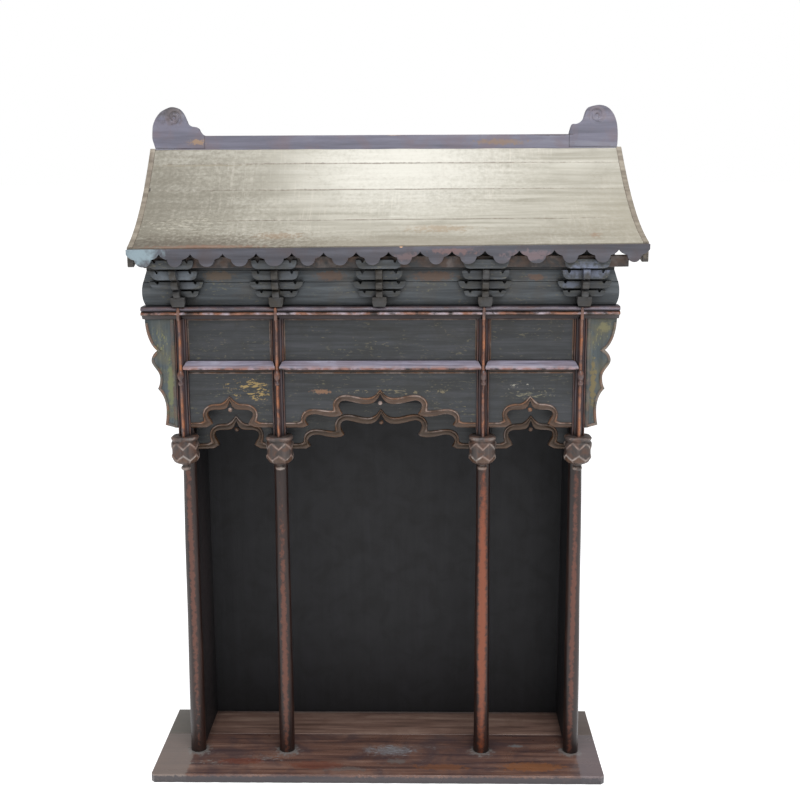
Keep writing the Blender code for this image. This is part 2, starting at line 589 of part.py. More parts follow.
def fascia_mesh():
    """Board with a lower edge of round lobes, with concave shoulders that rise to a pointed cusp between them."""
    start = -EAVE_HALF
    lower = []
    for width in SCALLOP_WIDTHS:
        half = width / 2 * EAVE_HALF * 2 / sum(SCALLOP_WIDTHS)
        lobe_half = half - SHOULDER_RUN
        shoulder = curve((half, CUSP_RISE), (half - 0.0030, CUSP_RISE - 0.0055),
                         (half - 0.0080, SHOULDER_RISE + 0.0010), (lobe_half, SHOULDER_RISE), 3)
        lobe = curve((lobe_half, SHOULDER_RISE), (lobe_half - 0.0008, 0.0060), (lobe_half * 0.60, 0.0), (0.0, 0.0), 4)
        right = shoulder + lobe
        scallop = [(-x, z) for x, z in right] + [(0.0, 0.0)] + right[:0:-1]
        lower += [(start + half + x, z) for x, z in scallop]
        start += 2 * half
    lower.append((EAVE_HALF, CUSP_RISE))
    bottom = EAVE_Z - FASCIA_HEIGHT
    outline = [(EAVE_X + x, bottom + z + EAVE_SAG * x / EAVE_HALF) for x, z in lower]
    outline += [(EAVE_X + EAVE_HALF, EAVE_Z + EAVE_SAG), (EAVE_X - EAVE_HALF, EAVE_Z - EAVE_SAG)]
    return board_xz(outline, EAVE_Y, EAVE_Y + FASCIA_THICK)


def curl_band(centre, start_r, turns, width, steps):
    """Closed band along a spiral that winds in to its centre."""
    outer, inner = [], []
    for i in range(steps + 1):
        t = i / steps
        a = math.radians(-150) - 2 * math.pi * turns * t
        r = start_r * (1 - 0.78 * t)
        half = width / 2 * (1 - 0.35 * t)
        outer.append((centre[0] + (r + half) * math.cos(a), centre[1] + (r + half) * math.sin(a)))
        inner.append((centre[0] + (r - half) * math.cos(a), centre[1] + (r - half) * math.sin(a)))
    return outer + inner[::-1]


def build_ridge(trim):
    """Ridge board between two curled ornaments."""
    front, back = RIDGE_Y + GAP, RIDGE_BACK_Y
    foot = RIDGE_FOOT_Z + GAP
    seat = RIDGE_Z + 0.0006
    thick_back = back + 0.0015
    left_edge = RIDGE_X - RIDGE_HALF + 0.0045
    right_edge = RIDGE_X + RIDGE_HALF - 0.0070
    pair = ((1, left_edge, LEFT_ORNAMENT_WIDTH, LEFT_ORNAMENT, (0.48, 0.755), "ridge_ornament_left"),
            (-1, right_edge, RIGHT_ORNAMENT_WIDTH, RIGHT_ORNAMENT, (0.45, 0.76), "ridge_ornament_right"))
    for side, edge, width, shares, eye, name in pair:
        outline = [(edge + side * u * width, seat + v * ORNAMENT_HEIGHT) for u, v in (*shares, (1.0, 0.0))]
        body = board_xz(outline, front, thick_back)
        curl = curl_band((eye[0] * width, eye[1] * ORNAMENT_HEIGHT), 0.0140, 1.15, 0.0045, 14)
        raised = board_xz([(edge + side * x, seat + z) for x, z in curl], front - 0.0016, front + 0.004)
        place(name, fused([body, raised]), trim)
    low_x, high_x = left_edge + LEFT_ORNAMENT_WIDTH + GAP, right_edge - RIGHT_ORNAMENT_WIDTH - GAP
    outline = [(low_x, seat), (left_edge, seat - 0.0004), (left_edge, foot), (right_edge, foot),
               (right_edge, seat - 0.0004), (high_x, seat), (high_x, RIDGE_TOP_Z), (low_x, RIDGE_TOP_Z)]
    place("ridge_board", board_xz(outline, front, back), trim)


def build():
    clear_scene()
    base_wood = paint("base red-brown", (0.070, 0.030, 0.022), 0.45)
    column_wood = paint("column red-brown", (0.110, 0.040, 0.025), 0.45)
    beaded_wood = paint("beaded brown", (0.080, 0.040, 0.035), 0.50)
    dark = paint("blue-black paint", (0.022, 0.024, 0.028), 0.60)
    green = paint("worn green paint", (0.045, 0.060, 0.050), 0.60)
    trim = paint("dusty blue-grey", (0.130, 0.130, 0.160), 0.60)
    bare = paint("weathered plank", (0.400, 0.360, 0.300), 0.55)
    build_base(base_wood)
    build_columns(column_wood)
    build_walls(dark)
    build_posts(beaded_wood)
    build_pendants(beaded_wood)
    build_pegs(beaded_wood)
    build_rails(beaded_wood)
    build_frieze_panels(dark)
    build_aprons(dark)
    build_wings(green)
    build_bands(dark)
    build_brackets(dark)
    build_roof(bare, trim)
    build_ridge(trim)


build()
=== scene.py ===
"""Carved altar shrine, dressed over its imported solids.

Metres in the frame of the solids: +Z up, the open front faces -Y.
"""

import logging
import math
from collections.abc import Sequence
from dataclasses import dataclass, field
from enum import Enum

import bmesh
import bpy
import numpy as np
from mathutils import Matrix, Vector


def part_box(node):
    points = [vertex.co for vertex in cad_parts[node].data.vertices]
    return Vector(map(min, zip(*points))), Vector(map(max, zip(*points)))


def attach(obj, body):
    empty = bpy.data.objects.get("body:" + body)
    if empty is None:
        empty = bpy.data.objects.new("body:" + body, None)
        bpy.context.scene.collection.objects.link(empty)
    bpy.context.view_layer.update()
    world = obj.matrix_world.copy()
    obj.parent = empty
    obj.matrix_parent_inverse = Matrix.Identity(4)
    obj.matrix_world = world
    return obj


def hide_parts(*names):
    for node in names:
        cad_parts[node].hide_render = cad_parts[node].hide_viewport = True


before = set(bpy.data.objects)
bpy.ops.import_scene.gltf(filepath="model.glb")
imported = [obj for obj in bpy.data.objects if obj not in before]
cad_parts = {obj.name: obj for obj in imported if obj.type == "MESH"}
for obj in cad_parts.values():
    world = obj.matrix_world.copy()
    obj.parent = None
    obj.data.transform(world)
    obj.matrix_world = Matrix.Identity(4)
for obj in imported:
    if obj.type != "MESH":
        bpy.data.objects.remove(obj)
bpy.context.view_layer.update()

Array = np.ndarray
Colour = tuple[float, float, float]
Point = tuple[float, float, float]
Flat = tuple[float, float]
log = logging.getLogger("altar_shrine")


def srgb(code: str) -> Colour:
    """Linear red, green and blue of a six-digit colour."""
    values = [int(code[i : i + 2], 16) / 255 for i in (0, 2, 4)]
    return tuple(v / 12.92 if v <= 0.04045 else ((v + 0.055) / 1.055) ** 2.4 for v in values)


def low(node: str) -> Array:
    """Lowest corner of a node of the solids."""
    return np.array(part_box(node)[0])


def high(node: str) -> Array:
    """Highest corner of a node of the solids."""
    return np.array(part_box(node)[1])


def middle(node: str) -> Array:
    """Middle of a node of the solids."""
    return (low(node) + high(node)) / 2


class Grain(Enum):
    """Which way the fibres of a piece run, as how fast its pattern changes along X, Y and Z."""

    ALONG_X = (0.06, 1.0, 1.0)
    ALONG_Z = (1.0, 1.0, 0.06)


class Form(Enum):
    """Outline of a stain or worn place: round, square, or round and broken into dashes along the grain."""

    ROUND = "round"
    SQUARE = "square"
    DASHED = "dashed"


@dataclass(frozen=True)
class Patch:
    """A stain, scuff, worn place, painted highlight or painted shade: where another colour, a six-digit code,
    shows, with a ragged edge.
    """

    centre: Point
    reach: Point
    colour: str
    strength: float = 0.8
    ragged: float = 0.9
    edge: float = 0.35
    form: Form = Form.ROUND


class Recipe:
    """A material in the making: its nodes are added one by one and joined."""

    def __init__(self, name: str) -> None:
        """Start a material with its shader and the object's coordinates.

        Args:
            name: name of the material.
        """
        self.material = bpy.data.materials.new(name)
        self.material.use_nodes = True
        self.tree = self.material.node_tree
        self.shader = self.tree.nodes["Principled BSDF"]
        self.place = self.tree.nodes.new("ShaderNodeTexCoord").outputs["Object"]

    def join(self, source: object, socket: bpy.types.NodeSocket) -> None:
        """Link a socket, or set a value, to an input."""
        if isinstance(source, bpy.types.NodeSocket):
            self.tree.links.new(source, socket)
        else:
            socket.default_value = source

    def stretched(self, scale: Point) -> bpy.types.NodeSocket:
        """Coordinates of the object times a scale for each axis."""
        node = self.tree.nodes.new("ShaderNodeVectorMath")
        node.operation = "MULTIPLY"
        self.join(self.place, node.inputs[0])
        node.inputs[1].default_value = scale
        return node.outputs[0]

    def noise(self, scale: Point, detail: float = 4.0, warp: float = 0.0) -> bpy.types.NodeSocket:
        """Cloudy pattern between 0 and 1.

        Args:
            scale: how many times it changes in a metre, along X, Y and Z.
            detail: octaves of finer pattern.
            warp: how much it is twisted.

        Returns:
            The pattern's socket.
        """
        node = self.tree.nodes.new("ShaderNodeTexNoise")
        self.join(self.stretched(scale), node.inputs["Vector"])
        node.inputs["Scale"].default_value = 1.0
        node.inputs["Detail"].default_value = detail
        node.inputs["Roughness"].default_value = 0.6
        node.inputs["Distortion"].default_value = warp
        return node.outputs["Fac"]

    def maths(self, operation: str, first: object, second: object = 0.0) -> bpy.types.NodeSocket:
        """Result of one operation on two values."""
        node = self.tree.nodes.new("ShaderNodeMath")
        node.operation = operation
        self.join(first, node.inputs[0])
        self.join(second, node.inputs[1])
        return node.outputs[0]

    def step(self, value: object, start: float, end: float, top: float = 1.0) -> bpy.types.NodeSocket:
        """Soft step: 0 up to start, then a smooth rise to top at end."""
        node = self.tree.nodes.new("ShaderNodeMapRange")
        node.interpolation_type = "SMOOTHSTEP"
        self.join(value, node.inputs["Value"])
        node.inputs["From Min"].default_value = start
        node.inputs["From Max"].default_value = end
        node.inputs["To Max"].default_value = top
        return node.outputs["Result"]

    def blend(self, amount: object, under: object, over: object) -> bpy.types.NodeSocket:
        """Colour that goes from under to over as amount goes from 0 to 1."""
        node = self.tree.nodes.new("ShaderNodeMix")
        node.data_type = "RGBA"
        self.join(amount, node.inputs[0])
        for colour, socket in ((under, node.inputs[6]), (over, node.inputs[7])):
            self.join((*srgb(colour), 1.0) if isinstance(colour, str) else colour, socket)
        return node.outputs[2]

    def ramp(self, value: object, stops: Sequence[tuple[float, str]]) -> bpy.types.NodeSocket:
        """Colour looked up, by its stops, from a value between 0 and 1."""
        node = self.tree.nodes.new("ShaderNodeValToRGB")
        self.join(value, node.inputs[0])
        points = node.color_ramp.elements
        while len(points) < len(stops):
            points.new(0.5)
        for point, (position, colour) in zip(points, stops):
            point.position = position
            point.color = (*srgb(colour), 1.0)
        return node.outputs["Color"]

    def within(self, patch: Patch, ragged: object) -> bpy.types.NodeSocket:
        """How much a patch shows: 1 less the distance from its centre in reaches, made ragged."""
        shift = self.tree.nodes.new("ShaderNodeVectorMath")
        shift.operation = "SUBTRACT"
        self.join(self.place, shift.inputs[0])
        shift.inputs[1].default_value = patch.centre
        scale = self.tree.nodes.new("ShaderNodeVectorMath")
        scale.operation = "DIVIDE"
        self.join(shift.outputs[0], scale.inputs[0])
        scale.inputs[1].default_value = patch.reach
        if patch.form is not Form.SQUARE:
            length = self.tree.nodes.new("ShaderNodeVectorMath")
            length.operation = "LENGTH"
            self.join(scale.outputs[0], length.inputs[0])
            distance = length.outputs["Value"]
        else:
            flat = self.tree.nodes.new("ShaderNodeVectorMath")
            flat.operation = "ABSOLUTE"
            self.join(scale.outputs[0], flat.inputs[0])
            parts = self.tree.nodes.new("ShaderNodeSeparateXYZ")
            self.join(flat.outputs[0], parts.inputs[0])
            upright = self.maths("MAXIMUM", parts.outputs[1], parts.outputs[2])
            distance = self.maths("MAXIMUM", parts.outputs[0], upright)
        eaten = self.maths("MULTIPLY", self.maths("SUBTRACT", ragged, 0.5), 2.0 * patch.ragged)
        inside = self.maths("SUBTRACT", self.maths("ADD", 1.0, eaten), distance)
        return self.step(inside, 0.0, patch.edge, patch.strength)


@dataclass(frozen=True)
class Finish:
    """Old paint or lacquer on wood: grain, mottling, stains, dirt and painted shade in the corners and bare
    worn edges.

    Its colours are six-digit codes.
    """

    name: str
    slot: str
    dark: str
    main: str
    light: str
    grain: Grain = Grain.ALONG_X
    streaks: float = 160.0
    contrast: float = 0.22
    cloud: str = "595959"
    cloud_amount: float = 0.25
    cloud_size: float = 22.0
    worn: str = "9a5f42"
    worn_pale: str = "a08f88"
    edge_wear: float = 0.6
    # Colour and amount of the darkening in hollows: partly dirt, partly painted shade.
    grime_and_shade: str = "0c0c0e"
    grime_and_shade_amount: float = 0.75
    fleck: str = "8d7f5c"
    fleck_amount: float = 0.0
    lining: str = "5b3f2b"
    smears: float = 0.0
    roughness: float = 0.55
    sheen_change: float = 0.12
    relief: float = 0.25
    specular: float = 0.5
    patches: tuple[Patch, ...] = ()

    def material(self) -> bpy.types.Material:
        """Make the material, or return it if it is there.

        Returns:
            The material: streaked and clouded colour, then flecks, smears, patches, dirt with painted shade
                in the hollows, and wear over it.
        """
        ready = bpy.data.materials.get(self.name)
        if ready:
            return ready
        r = Recipe(self.name)
        along = self.grain.value
        fibres = r.noise(tuple(self.streaks * a for a in along), 5.0, 0.4)
        fine = r.noise(tuple(self.streaks * 4.5 * a for a in along), 3.0)
        clouds = r.noise((self.cloud_size,) * 3, 4.0, 0.6)
        rough_edge = r.noise((140.0, 140.0, 140.0), 5.0)
        half = self.contrast
        colour = r.ramp(fibres, ((0.5 - half, self.dark), (0.5, self.main), (0.5 + half, self.light)))
        colour = r.blend(r.step(clouds, 0.42, 0.68, self.cloud_amount), colour, self.cloud)
        if self.fleck_amount:
            chips = r.noise(tuple(420.0 * max(a, 0.3) for a in along), 2.0)
            where = r.step(r.noise((26.0, 26.0, 26.0), 2.0), 0.42, 0.62)
            shown = r.maths("MULTIPLY", r.step(chips, 0.60, 0.68, self.fleck_amount), where)
            colour = r.blend(shown, colour, self.fleck)
        if self.smears:
            across = r.step(r.noise((190.0, 11.0, 11.0), 4.0, 0.5), 0.50, 0.66, self.smears)
            where = r.step(r.noise((7.0, 9.0, 9.0), 2.0), 0.40, 0.60)
            colour = r.blend(r.maths("MULTIPLY", across, where), colour, self.worn_pale)
        lined = r.tree.nodes.new("ShaderNodeAttribute")
        lined.attribute_name = "lining"
        shade = r.ramp(fibres, ((0.3, self.lining), (0.6, self.lining)))
        shade.node.color_ramp.elements[0].color = (*(0.5 * c for c in srgb(self.lining)), 1.0)
        colour = r.blend(lined.outputs["Fac"], colour, shade)
        dashes = r.step(r.noise(tuple(330.0 * max(a, 0.28) for a in along), 3.0, 0.3), 0.53, 0.60)
        for patch in self.patches:
            shown = r.within(patch, rough_edge)
            if patch.form is Form.DASHED:
                shown = r.maths("MULTIPLY", shown, dashes)
            colour = r.blend(shown, colour, patch.colour)
        # Darker in hollows, corners and between parts, by ambient occlusion: partly dirt, partly painted
        # shade where less light falls.
        hollow = r.tree.nodes.new("ShaderNodeAmbientOcclusion")
        hollow.samples = 8
        hollow.inputs["Distance"].default_value = 0.022
        grime_and_shade_mask = r.step(r.maths("SUBTRACT", 1.0, hollow.outputs["AO"]), 0.12, 0.80, self.grime_and_shade_amount)
        colour = r.blend(grime_and_shade_mask, colour, self.grime_and_shade)
        wear = r.tree.nodes.new("ShaderNodeAttribute")
        wear.attribute_name = "wear"
        soft = r.tree.nodes.new("ShaderNodeBevel")
        soft.samples = 6
        soft.inputs["Radius"].default_value = 0.0016
        shape = r.tree.nodes.new("ShaderNodeNewGeometry")
        bend = r.tree.nodes.new("ShaderNodeVectorMath")
        bend.operation = "DOT_PRODUCT"
        r.join(soft.outputs[0], bend.inputs[0])
        r.join(shape.outputs["Normal"], bend.inputs[1])
        edges = r.step(r.maths("SUBTRACT", 1.0, bend.outputs["Value"]), 0.02, 0.22, self.edge_wear)
        open_edge = r.maths("MULTIPLY", edges, r.step(hollow.outputs["AO"], 0.45, 0.8))
        rubbed = r.maths("MAXIMUM", open_edge, wear.outputs["Fac"])
        shown = r.maths("MULTIPLY", rubbed, r.step(r.noise((60.0, 60.0, 60.0), 4.0, 0.5), 0.30, 0.62))
        bare = r.blend(r.step(r.noise((28.0, 28.0, 28.0), 3.0, 0.3), 0.44, 0.60), self.worn, self.worn_pale)
        r.join(r.blend(shown, colour, bare), r.shader.inputs["Base Color"])
        gloss = r.maths("MULTIPLY", r.maths("SUBTRACT", clouds, 0.5), 2.0 * self.sheen_change)
        r.join(r.maths("ADD", self.roughness, gloss), r.shader.inputs["Roughness"])
        r.shader.inputs["Specular IOR Level"].default_value = self.specular
        bump = r.tree.nodes.new("ShaderNodeBump")
        bump.inputs["Strength"].default_value = self.relief
        bump.inputs["Distance"].default_value = 0.0012
        height = r.maths("ADD", r.maths("MULTIPLY", fibres, 0.8), r.maths("MULTIPLY", fine, 0.5))
        r.join(r.maths("ADD", height, r.maths("MULTIPLY", rough_edge, 0.35)), bump.inputs["Height"])
        r.join(bump.outputs[0], r.shader.inputs["Normal"])
        return r.material


def on_front(y: float, deep: float, *rows: tuple) -> tuple[Patch, ...]:
    """Patches on a face that looks forward, each row (x, z, half width, half height, colour and the rest)."""
    return tuple(Patch((x, y, z), (wide, deep, tall), *rest) for x, z, wide, tall, *rest in rows)


def on_top(z: float, tall: float, *rows: tuple) -> tuple[Patch, ...]:
    """Patches on a face that looks up, each row (x, y, half width, half depth, colour and the rest)."""
    return tuple(Patch((x, y, z), (wide, deep, tall), *rest) for x, y, wide, deep, *rest in rows)


FRAME_X = 0.0105
# The base's colours are greyed and blued towards white: partly the lacquer's own colour, partly painted sheen
# of its glossy top.
BASE_FRONT = Finish(
    "worn red-brown lacquer", "base_wood", "392c2e", "735448", "8c6f62", streaks=80.0,
    cloud="42393f", cloud_amount=0.6, cloud_size=15.0, worn="85736c", worn_pale="8d8886", edge_wear=0.7,
    roughness=0.30, fleck="8c8680", fleck_amount=0.3,
    patches=(
        *on_top(
            0.0175, 0.05,
            (-0.452, -0.05, 0.0915, 0.30, "83766f", 0.85, 0.06, 0.05, Form.SQUARE),
            (0.475, -0.05, 0.0915, 0.30, "74686a", 0.85, 0.06, 0.05, Form.SQUARE),
        ),
        *on_top(
            0.0175, 0.02,
            (0.0223, -0.0400, 0.060, 0.024, "7d7c7f", 0.75, 1.0, 0.8),
            (0.0223, -0.0400, 0.066, 0.027, "97979a", 0.9, 0.9, 0.6, Form.DASHED),
            (0.0370, -0.0816, 0.022, 0.010, "6d6a68", 0.6, 1.2),
            (0.1053, -0.0289, 0.012, 0.006, "8a8888", 0.7, 1.2, 0.35, Form.DASHED),
            (-0.2241, -0.0764, 0.045, 0.016, "86817f", 0.8, 1.6, 0.5, Form.DASHED),
            (-0.3234, -0.0892, 0.050, 0.012, "86807c", 0.8, 1.6, 0.5, Form.DASHED),
            (0.2722, -0.0190, 0.018, 0.006, "7f8688", 0.6, 1.2),
            (-0.0618, -0.1136, 0.050, 0.010, "6e6663", 0.6, 1.3),
            (0.2984, -0.1022, 0.070, 0.018, "8a5a38", 0.7, 1.0),
            (0.1220, -0.1040, 0.060, 0.013, "82553a", 0.6, 1.0),
            (-0.2677, -0.0847, 0.050, 0.014, "7c4230", 0.5, 0.8),
            (-0.1168, -0.0988, 0.060, 0.018, "76402e", 0.5, 0.8),
        ),
        Patch((0.0, -0.1450, 0.003), (0.6, 0.02, 0.0125), "37343a", 0.85, 0.6, 0.3, Form.SQUARE),
        *(Patch((FRAME_X + x, -0.0400, 0.0175), (0.028, 0.027, 0.004), "85827f", 0.8, 0.9, 0.5)
          for x in (-0.364, -0.1905, 0.1905, 0.364)),
    ),
)
# Greyed towards white like the front plank: partly the lacquer's own colour, partly painted sheen.
BASE_BACK = Finish(
    "worn brown lacquer", "base_wood", "493932", "7c6257", "987f71", streaks=90.0,
    cloud="664c41", cloud_amount=0.4, edge_wear=0.4, roughness=0.34,
    patches=(
        *on_top(
            0.0175, 0.05,
            (-0.452, 0.08, 0.0915, 0.30, "7a766f", 0.85, 0.06, 0.05, Form.SQUARE),
            (0.475, 0.08, 0.0915, 0.30, "70655f", 0.85, 0.06, 0.05, Form.SQUARE),
        ),
        Patch((FRAME_X, 0.127, 0.0175), (0.36, 0.006, 0.02), "857a76", 0.6, 0.6, 0.5, Form.SQUARE),
    ),
)
COLUMN = Finish(
    "red-brown column lacquer", "column_wood", "0f0707", "23130f", "321d17", Grain.ALONG_Z, 70.0,
    cloud="3b2116", cloud_amount=0.40, cloud_size=14.0, worn="7a4e38", worn_pale="74594e",
    edge_wear=0.3, roughness=0.42, sheen_change=0.12,
    patches=(
        # Orange strips down the front of the columns: worn lacquer, and a painted highlight where the light
        # catches their round fronts, strongest on the inner right one.
        Patch((FRAME_X + 0.1905, -0.050, 0.30), (0.011, 0.020, 0.40), "8f4826", 0.75, 0.6, 0.6),
        Patch((FRAME_X - 0.1905, -0.050, 0.22), (0.007, 0.020, 0.30), "7c452f", 0.5, 1.2, 0.6),
        Patch((FRAME_X + 0.364, -0.050, 0.30), (0.006, 0.020, 0.42), "7c4633", 0.5, 1.2, 0.6),
        Patch((FRAME_X - 0.364, -0.050, 0.40), (0.006, 0.020, 0.42), "7a4836", 0.5, 1.2, 0.6),
    ),
)
BEADED = Finish(
    "worn beading lacquer", "beaded_wood", "221b1d", "3c3235", "564b51", Grain.ALONG_Z, 120.0,
    cloud="46312a", cloud_amount=0.45, worn="99603f", worn_pale="7d5c4e", edge_wear=0.22,
    roughness=0.36,
)
RAILED = Finish(
    "worn rail lacquer", "beaded_wood", "332e33", "554f58", "706b78", Grain.ALONG_X, 120.0,
    cloud="44393a", cloud_amount=0.45, cloud_size=9.0, worn="94634c", worn_pale="b0a2aa",
    edge_wear=0.2, roughness=0.36, lining="281c16",
)
# Its dark second colour covers the lower rails' undersides as painted shade.
SLOPED = Finish(
    "worn sloped rail lacquer", "beaded_wood", "625d6c", "898493", "a8a5b5", Grain.ALONG_X, 130.0,
    cloud="73636a", cloud_amount=0.45, cloud_size=26.0, worn="96685a", worn_pale="a8939a",
    edge_wear=0.3, roughness=0.34, lining="261b17",
)
CARVED = Finish(
    "carved pendant paint", "beaded_wood", "201c1a", "3c3330", "514743", Grain.ALONG_Z, 140.0,
    cloud="5f3c29", cloud_amount=0.55, cloud_size=60.0, worn="8b756b", worn_pale="a19892",
    edge_wear=0.7, roughness=0.5,
)
GOLD = "9c8450"
PANEL = Finish(
    "blue-black panel paint", "dark_paint", "1d1f22", "2b2e31", "3b3c41", streaks=150.0,
    cloud="262623", cloud_amount=0.5, worn="7a5236", worn_pale="9a8880", edge_wear=0.25,
    fleck="6f694f", fleck_amount=0.5, roughness=0.5, lining="4b3525",
    patches=(
        *on_front(
            -0.0775, 0.02,
            (-0.2277, 0.7531, 0.048, 0.021, GOLD, 0.9, 1.1, 0.5, Form.DASHED),
            (-0.2062, 0.7382, 0.018, 0.012, GOLD, 0.7, 1.9, 0.3, Form.DASHED),
            (0.2550, 0.7564, 0.030, 0.006, "a5a296", 0.7, 1.9, 0.3, Form.DASHED),
            (0.2824, 0.7420, 0.040, 0.008, "7f7a62", 0.6, 1.9, 0.3, Form.DASHED),
            (-0.0980, 0.7466, 0.022, 0.0045, "8a6448", 0.7, 1.2, 0.4),
            (0.0400, 0.7460, 0.110, 0.0040, "80755a", 0.6, 1.8, 0.3, Form.DASHED),
            (0.0720, 0.9240, 0.016, 0.007, GOLD, 0.8, 1.6, 0.3, Form.DASHED),
        ),
    ),
)
# A darker copy of the panel paint: painted shade for the rear aprons, the head board and the eave purlin,
# which sit back in shade.
SHADED_PANEL = Finish(
    "panel paint darkened as painted shade", "dark_paint", "151619", "212326", "2e3133", streaks=150.0,
    cloud="1d1e1b", cloud_amount=0.5, worn="66462f", worn_pale="857670", edge_wear=0.2,
    fleck="5d5846", fleck_amount=0.4, roughness=0.5, lining="43301f",
)
BANDS = Finish(
    "blue-black band paint", "dark_paint", "2d3135", "42484d", "5c6267", streaks=120.0,
    cloud="4e4841", cloud_amount=0.4, worn="6d5140", worn_pale="6c6660", edge_wear=0.5,
    fleck="7d7659", fleck_amount=0.45, roughness=0.55,
    patches=(
        *on_front(
            -0.0775, 0.03,
            (-0.2780, 0.9574, 0.034, 0.011, "5d4e3f", 0.8, 0.8, 0.5),
            (-0.0783, 0.9569, 0.034, 0.011, "5f493b", 0.8, 0.8, 0.5),
            (0.1080, 0.9564, 0.046, 0.011, "5f493b", 0.8, 0.8, 0.5),
            (0.2900, 0.9541, 0.020, 0.008, "6b5040", 0.7, 0.9, 0.5),
        ),
    ),
)
WALL = Finish(
    "black wall paint", "dark_paint", "131317", "1a1a1d", "1f1f24", Grain.ALONG_Z, 60.0,
    contrast=0.4, cloud="151415", cloud_amount=0.5, worn="5a4436", worn_pale="5a5654", edge_wear=0.4,
    roughness=0.62, specular=0.35,
    patches=(Patch((-0.352, 0.045, 0.28), (0.012, 0.12, 0.45), "393132", 0.9, 0.6, 0.8),),
)
# Its dark second colour, laid almost wholly over the foot blocks, is painted shadow there.
BRACKET = Finish(
    "blue-grey bracket paint", "dark_paint", "212528", "363a3e", "50555b", streaks=130.0,
    cloud="38362f", cloud_amount=0.6, cloud_size=45.0, worn="6a5f4d", worn_pale="787d85",
    edge_wear=0.55, grime_and_shade_amount=0.9, fleck="847f66", fleck_amount=0.4, roughness=0.45, lining="26211c",
    patches=(
        Patch((0.375, -0.105, 0.972), (0.055, 0.022, 0.020), "747c93", 0.8, 0.6, 0.6),
        Patch((0.350, -0.088, 0.9415), (0.022, 0.012, 0.008), "5f6678", 0.7, 0.8, 0.6),
        Patch((-0.355, -0.100, 0.962), (0.055, 0.022, 0.018), "626a73", 0.75, 0.7, 0.6),
        Patch((-0.330, -0.088, 0.9415), (0.022, 0.012, 0.010), "565c64", 0.7, 0.8, 0.6),
        Patch((-0.150, -0.100, 0.962), (0.018, 0.022, 0.012), "51575f", 0.6, 0.8, 0.6),
    ),
)
WING = Finish(
    "worn green paint", "green_paint", "2c3435", "434c50", "585f60", Grain.ALONG_Z, 110.0,
    cloud="665f43", cloud_amount=0.55, cloud_size=26.0, worn="7d5a46", worn_pale="7f7468",
    edge_wear=0.5, fleck="8c8a58", fleck_amount=0.5, roughness=0.55,
    patches=(
        *on_front(
            -0.0775, 0.02,
            (-0.3720, 0.760, 0.007, 0.055, "74784e", 0.75, 1.2, 0.6),
            (-0.3920, 0.845, 0.014, 0.026, "7c7b4c", 0.65, 1.4, 0.6, Form.DASHED),
            (0.3961, 0.760, 0.007, 0.055, "77683f", 0.75, 1.3, 0.6),
            (0.4130, 0.864, 0.014, 0.010, "7f7a55", 0.7, 1.2, 0.6),
        ),
    ),
)
TRIM = Finish(
    "dusty blue-grey paint", "trim_paint", "5a5a66", "706f7e", "858591", streaks=70.0,
    cloud="75656a", cloud_amount=0.5, worn="a08478", worn_pale="a9a9b0", edge_wear=0.55,
    grime_and_shade_amount=0.5, roughness=0.6,
    patches=(
        *on_front(
            -0.131, 0.03,
            (-0.410, 1.002, 0.055, 0.03, "8fa2aa", 0.8, 0.6, 0.8),
            (0.1435, 1.004, 0.050, 0.007, "80605c", 0.5, 1.2, 0.6),
            (0.0600, 0.995, 0.030, 0.008, "78605f", 0.45, 1.2, 0.6),
            (0.2733, 0.997, 0.050, 0.010, "7f686a", 0.5, 1.2, 0.6),
        ),
        Patch((0.0499, -0.131, 1.013), (0.004, 0.02, 0.003), "e0b088", 0.9, 0.5),
        *on_front(
            0.122, 0.03,
            (-0.3451, 1.1955, 0.022, 0.006, "a08468", 0.8, 1.3, 0.6),
            (0.2353, 1.1928, 0.060, 0.007, "8a7460", 0.7, 1.3, 0.6),
            (0.0329, 1.2087, 0.022, 0.0035, "b09c8c", 0.8, 0.7),
            (0.3341, 1.2070, 0.050, 0.0030, "4a4346", 0.7, 0.7),
        ),
        *on_front(
            0.120, 0.03,
            (-0.395, 1.266, 0.050, 0.046, "45403f", 0.85, 0.7, 0.8),
            (0.420, 1.266, 0.050, 0.030, "57525a", 0.6, 0.7, 0.9),
        ),
    ),
)
FASCIA = Finish(
    "grey fascia paint", "trim_paint", "323138", "45454d", "595962", streaks=70.0,
    cloud="493d3e", cloud_amount=0.5, worn="8a6a62", worn_pale="9a9098", edge_wear=0.7,
    grime_and_shade_amount=0.6, roughness=0.5, patches=TRIM.patches,
)
BARGE = Finish(
    "worn barge paint", "trim_paint", "655b4e", "8d8374", "a79d8d", streaks=70.0,
    cloud="6d6055", cloud_amount=0.5, worn="6b5648", worn_pale="8d8175", edge_wear=0.8,
    patches=(
        Patch((-0.43, -0.125, 0.975), (0.05, 0.03, 0.030), "2c2a2a", 0.9, 0.7, 0.6),
        Patch((0.48, -0.125, 0.975), (0.05, 0.03, 0.030), "2c2a2a", 0.9, 0.7, 0.6),
    ),
)
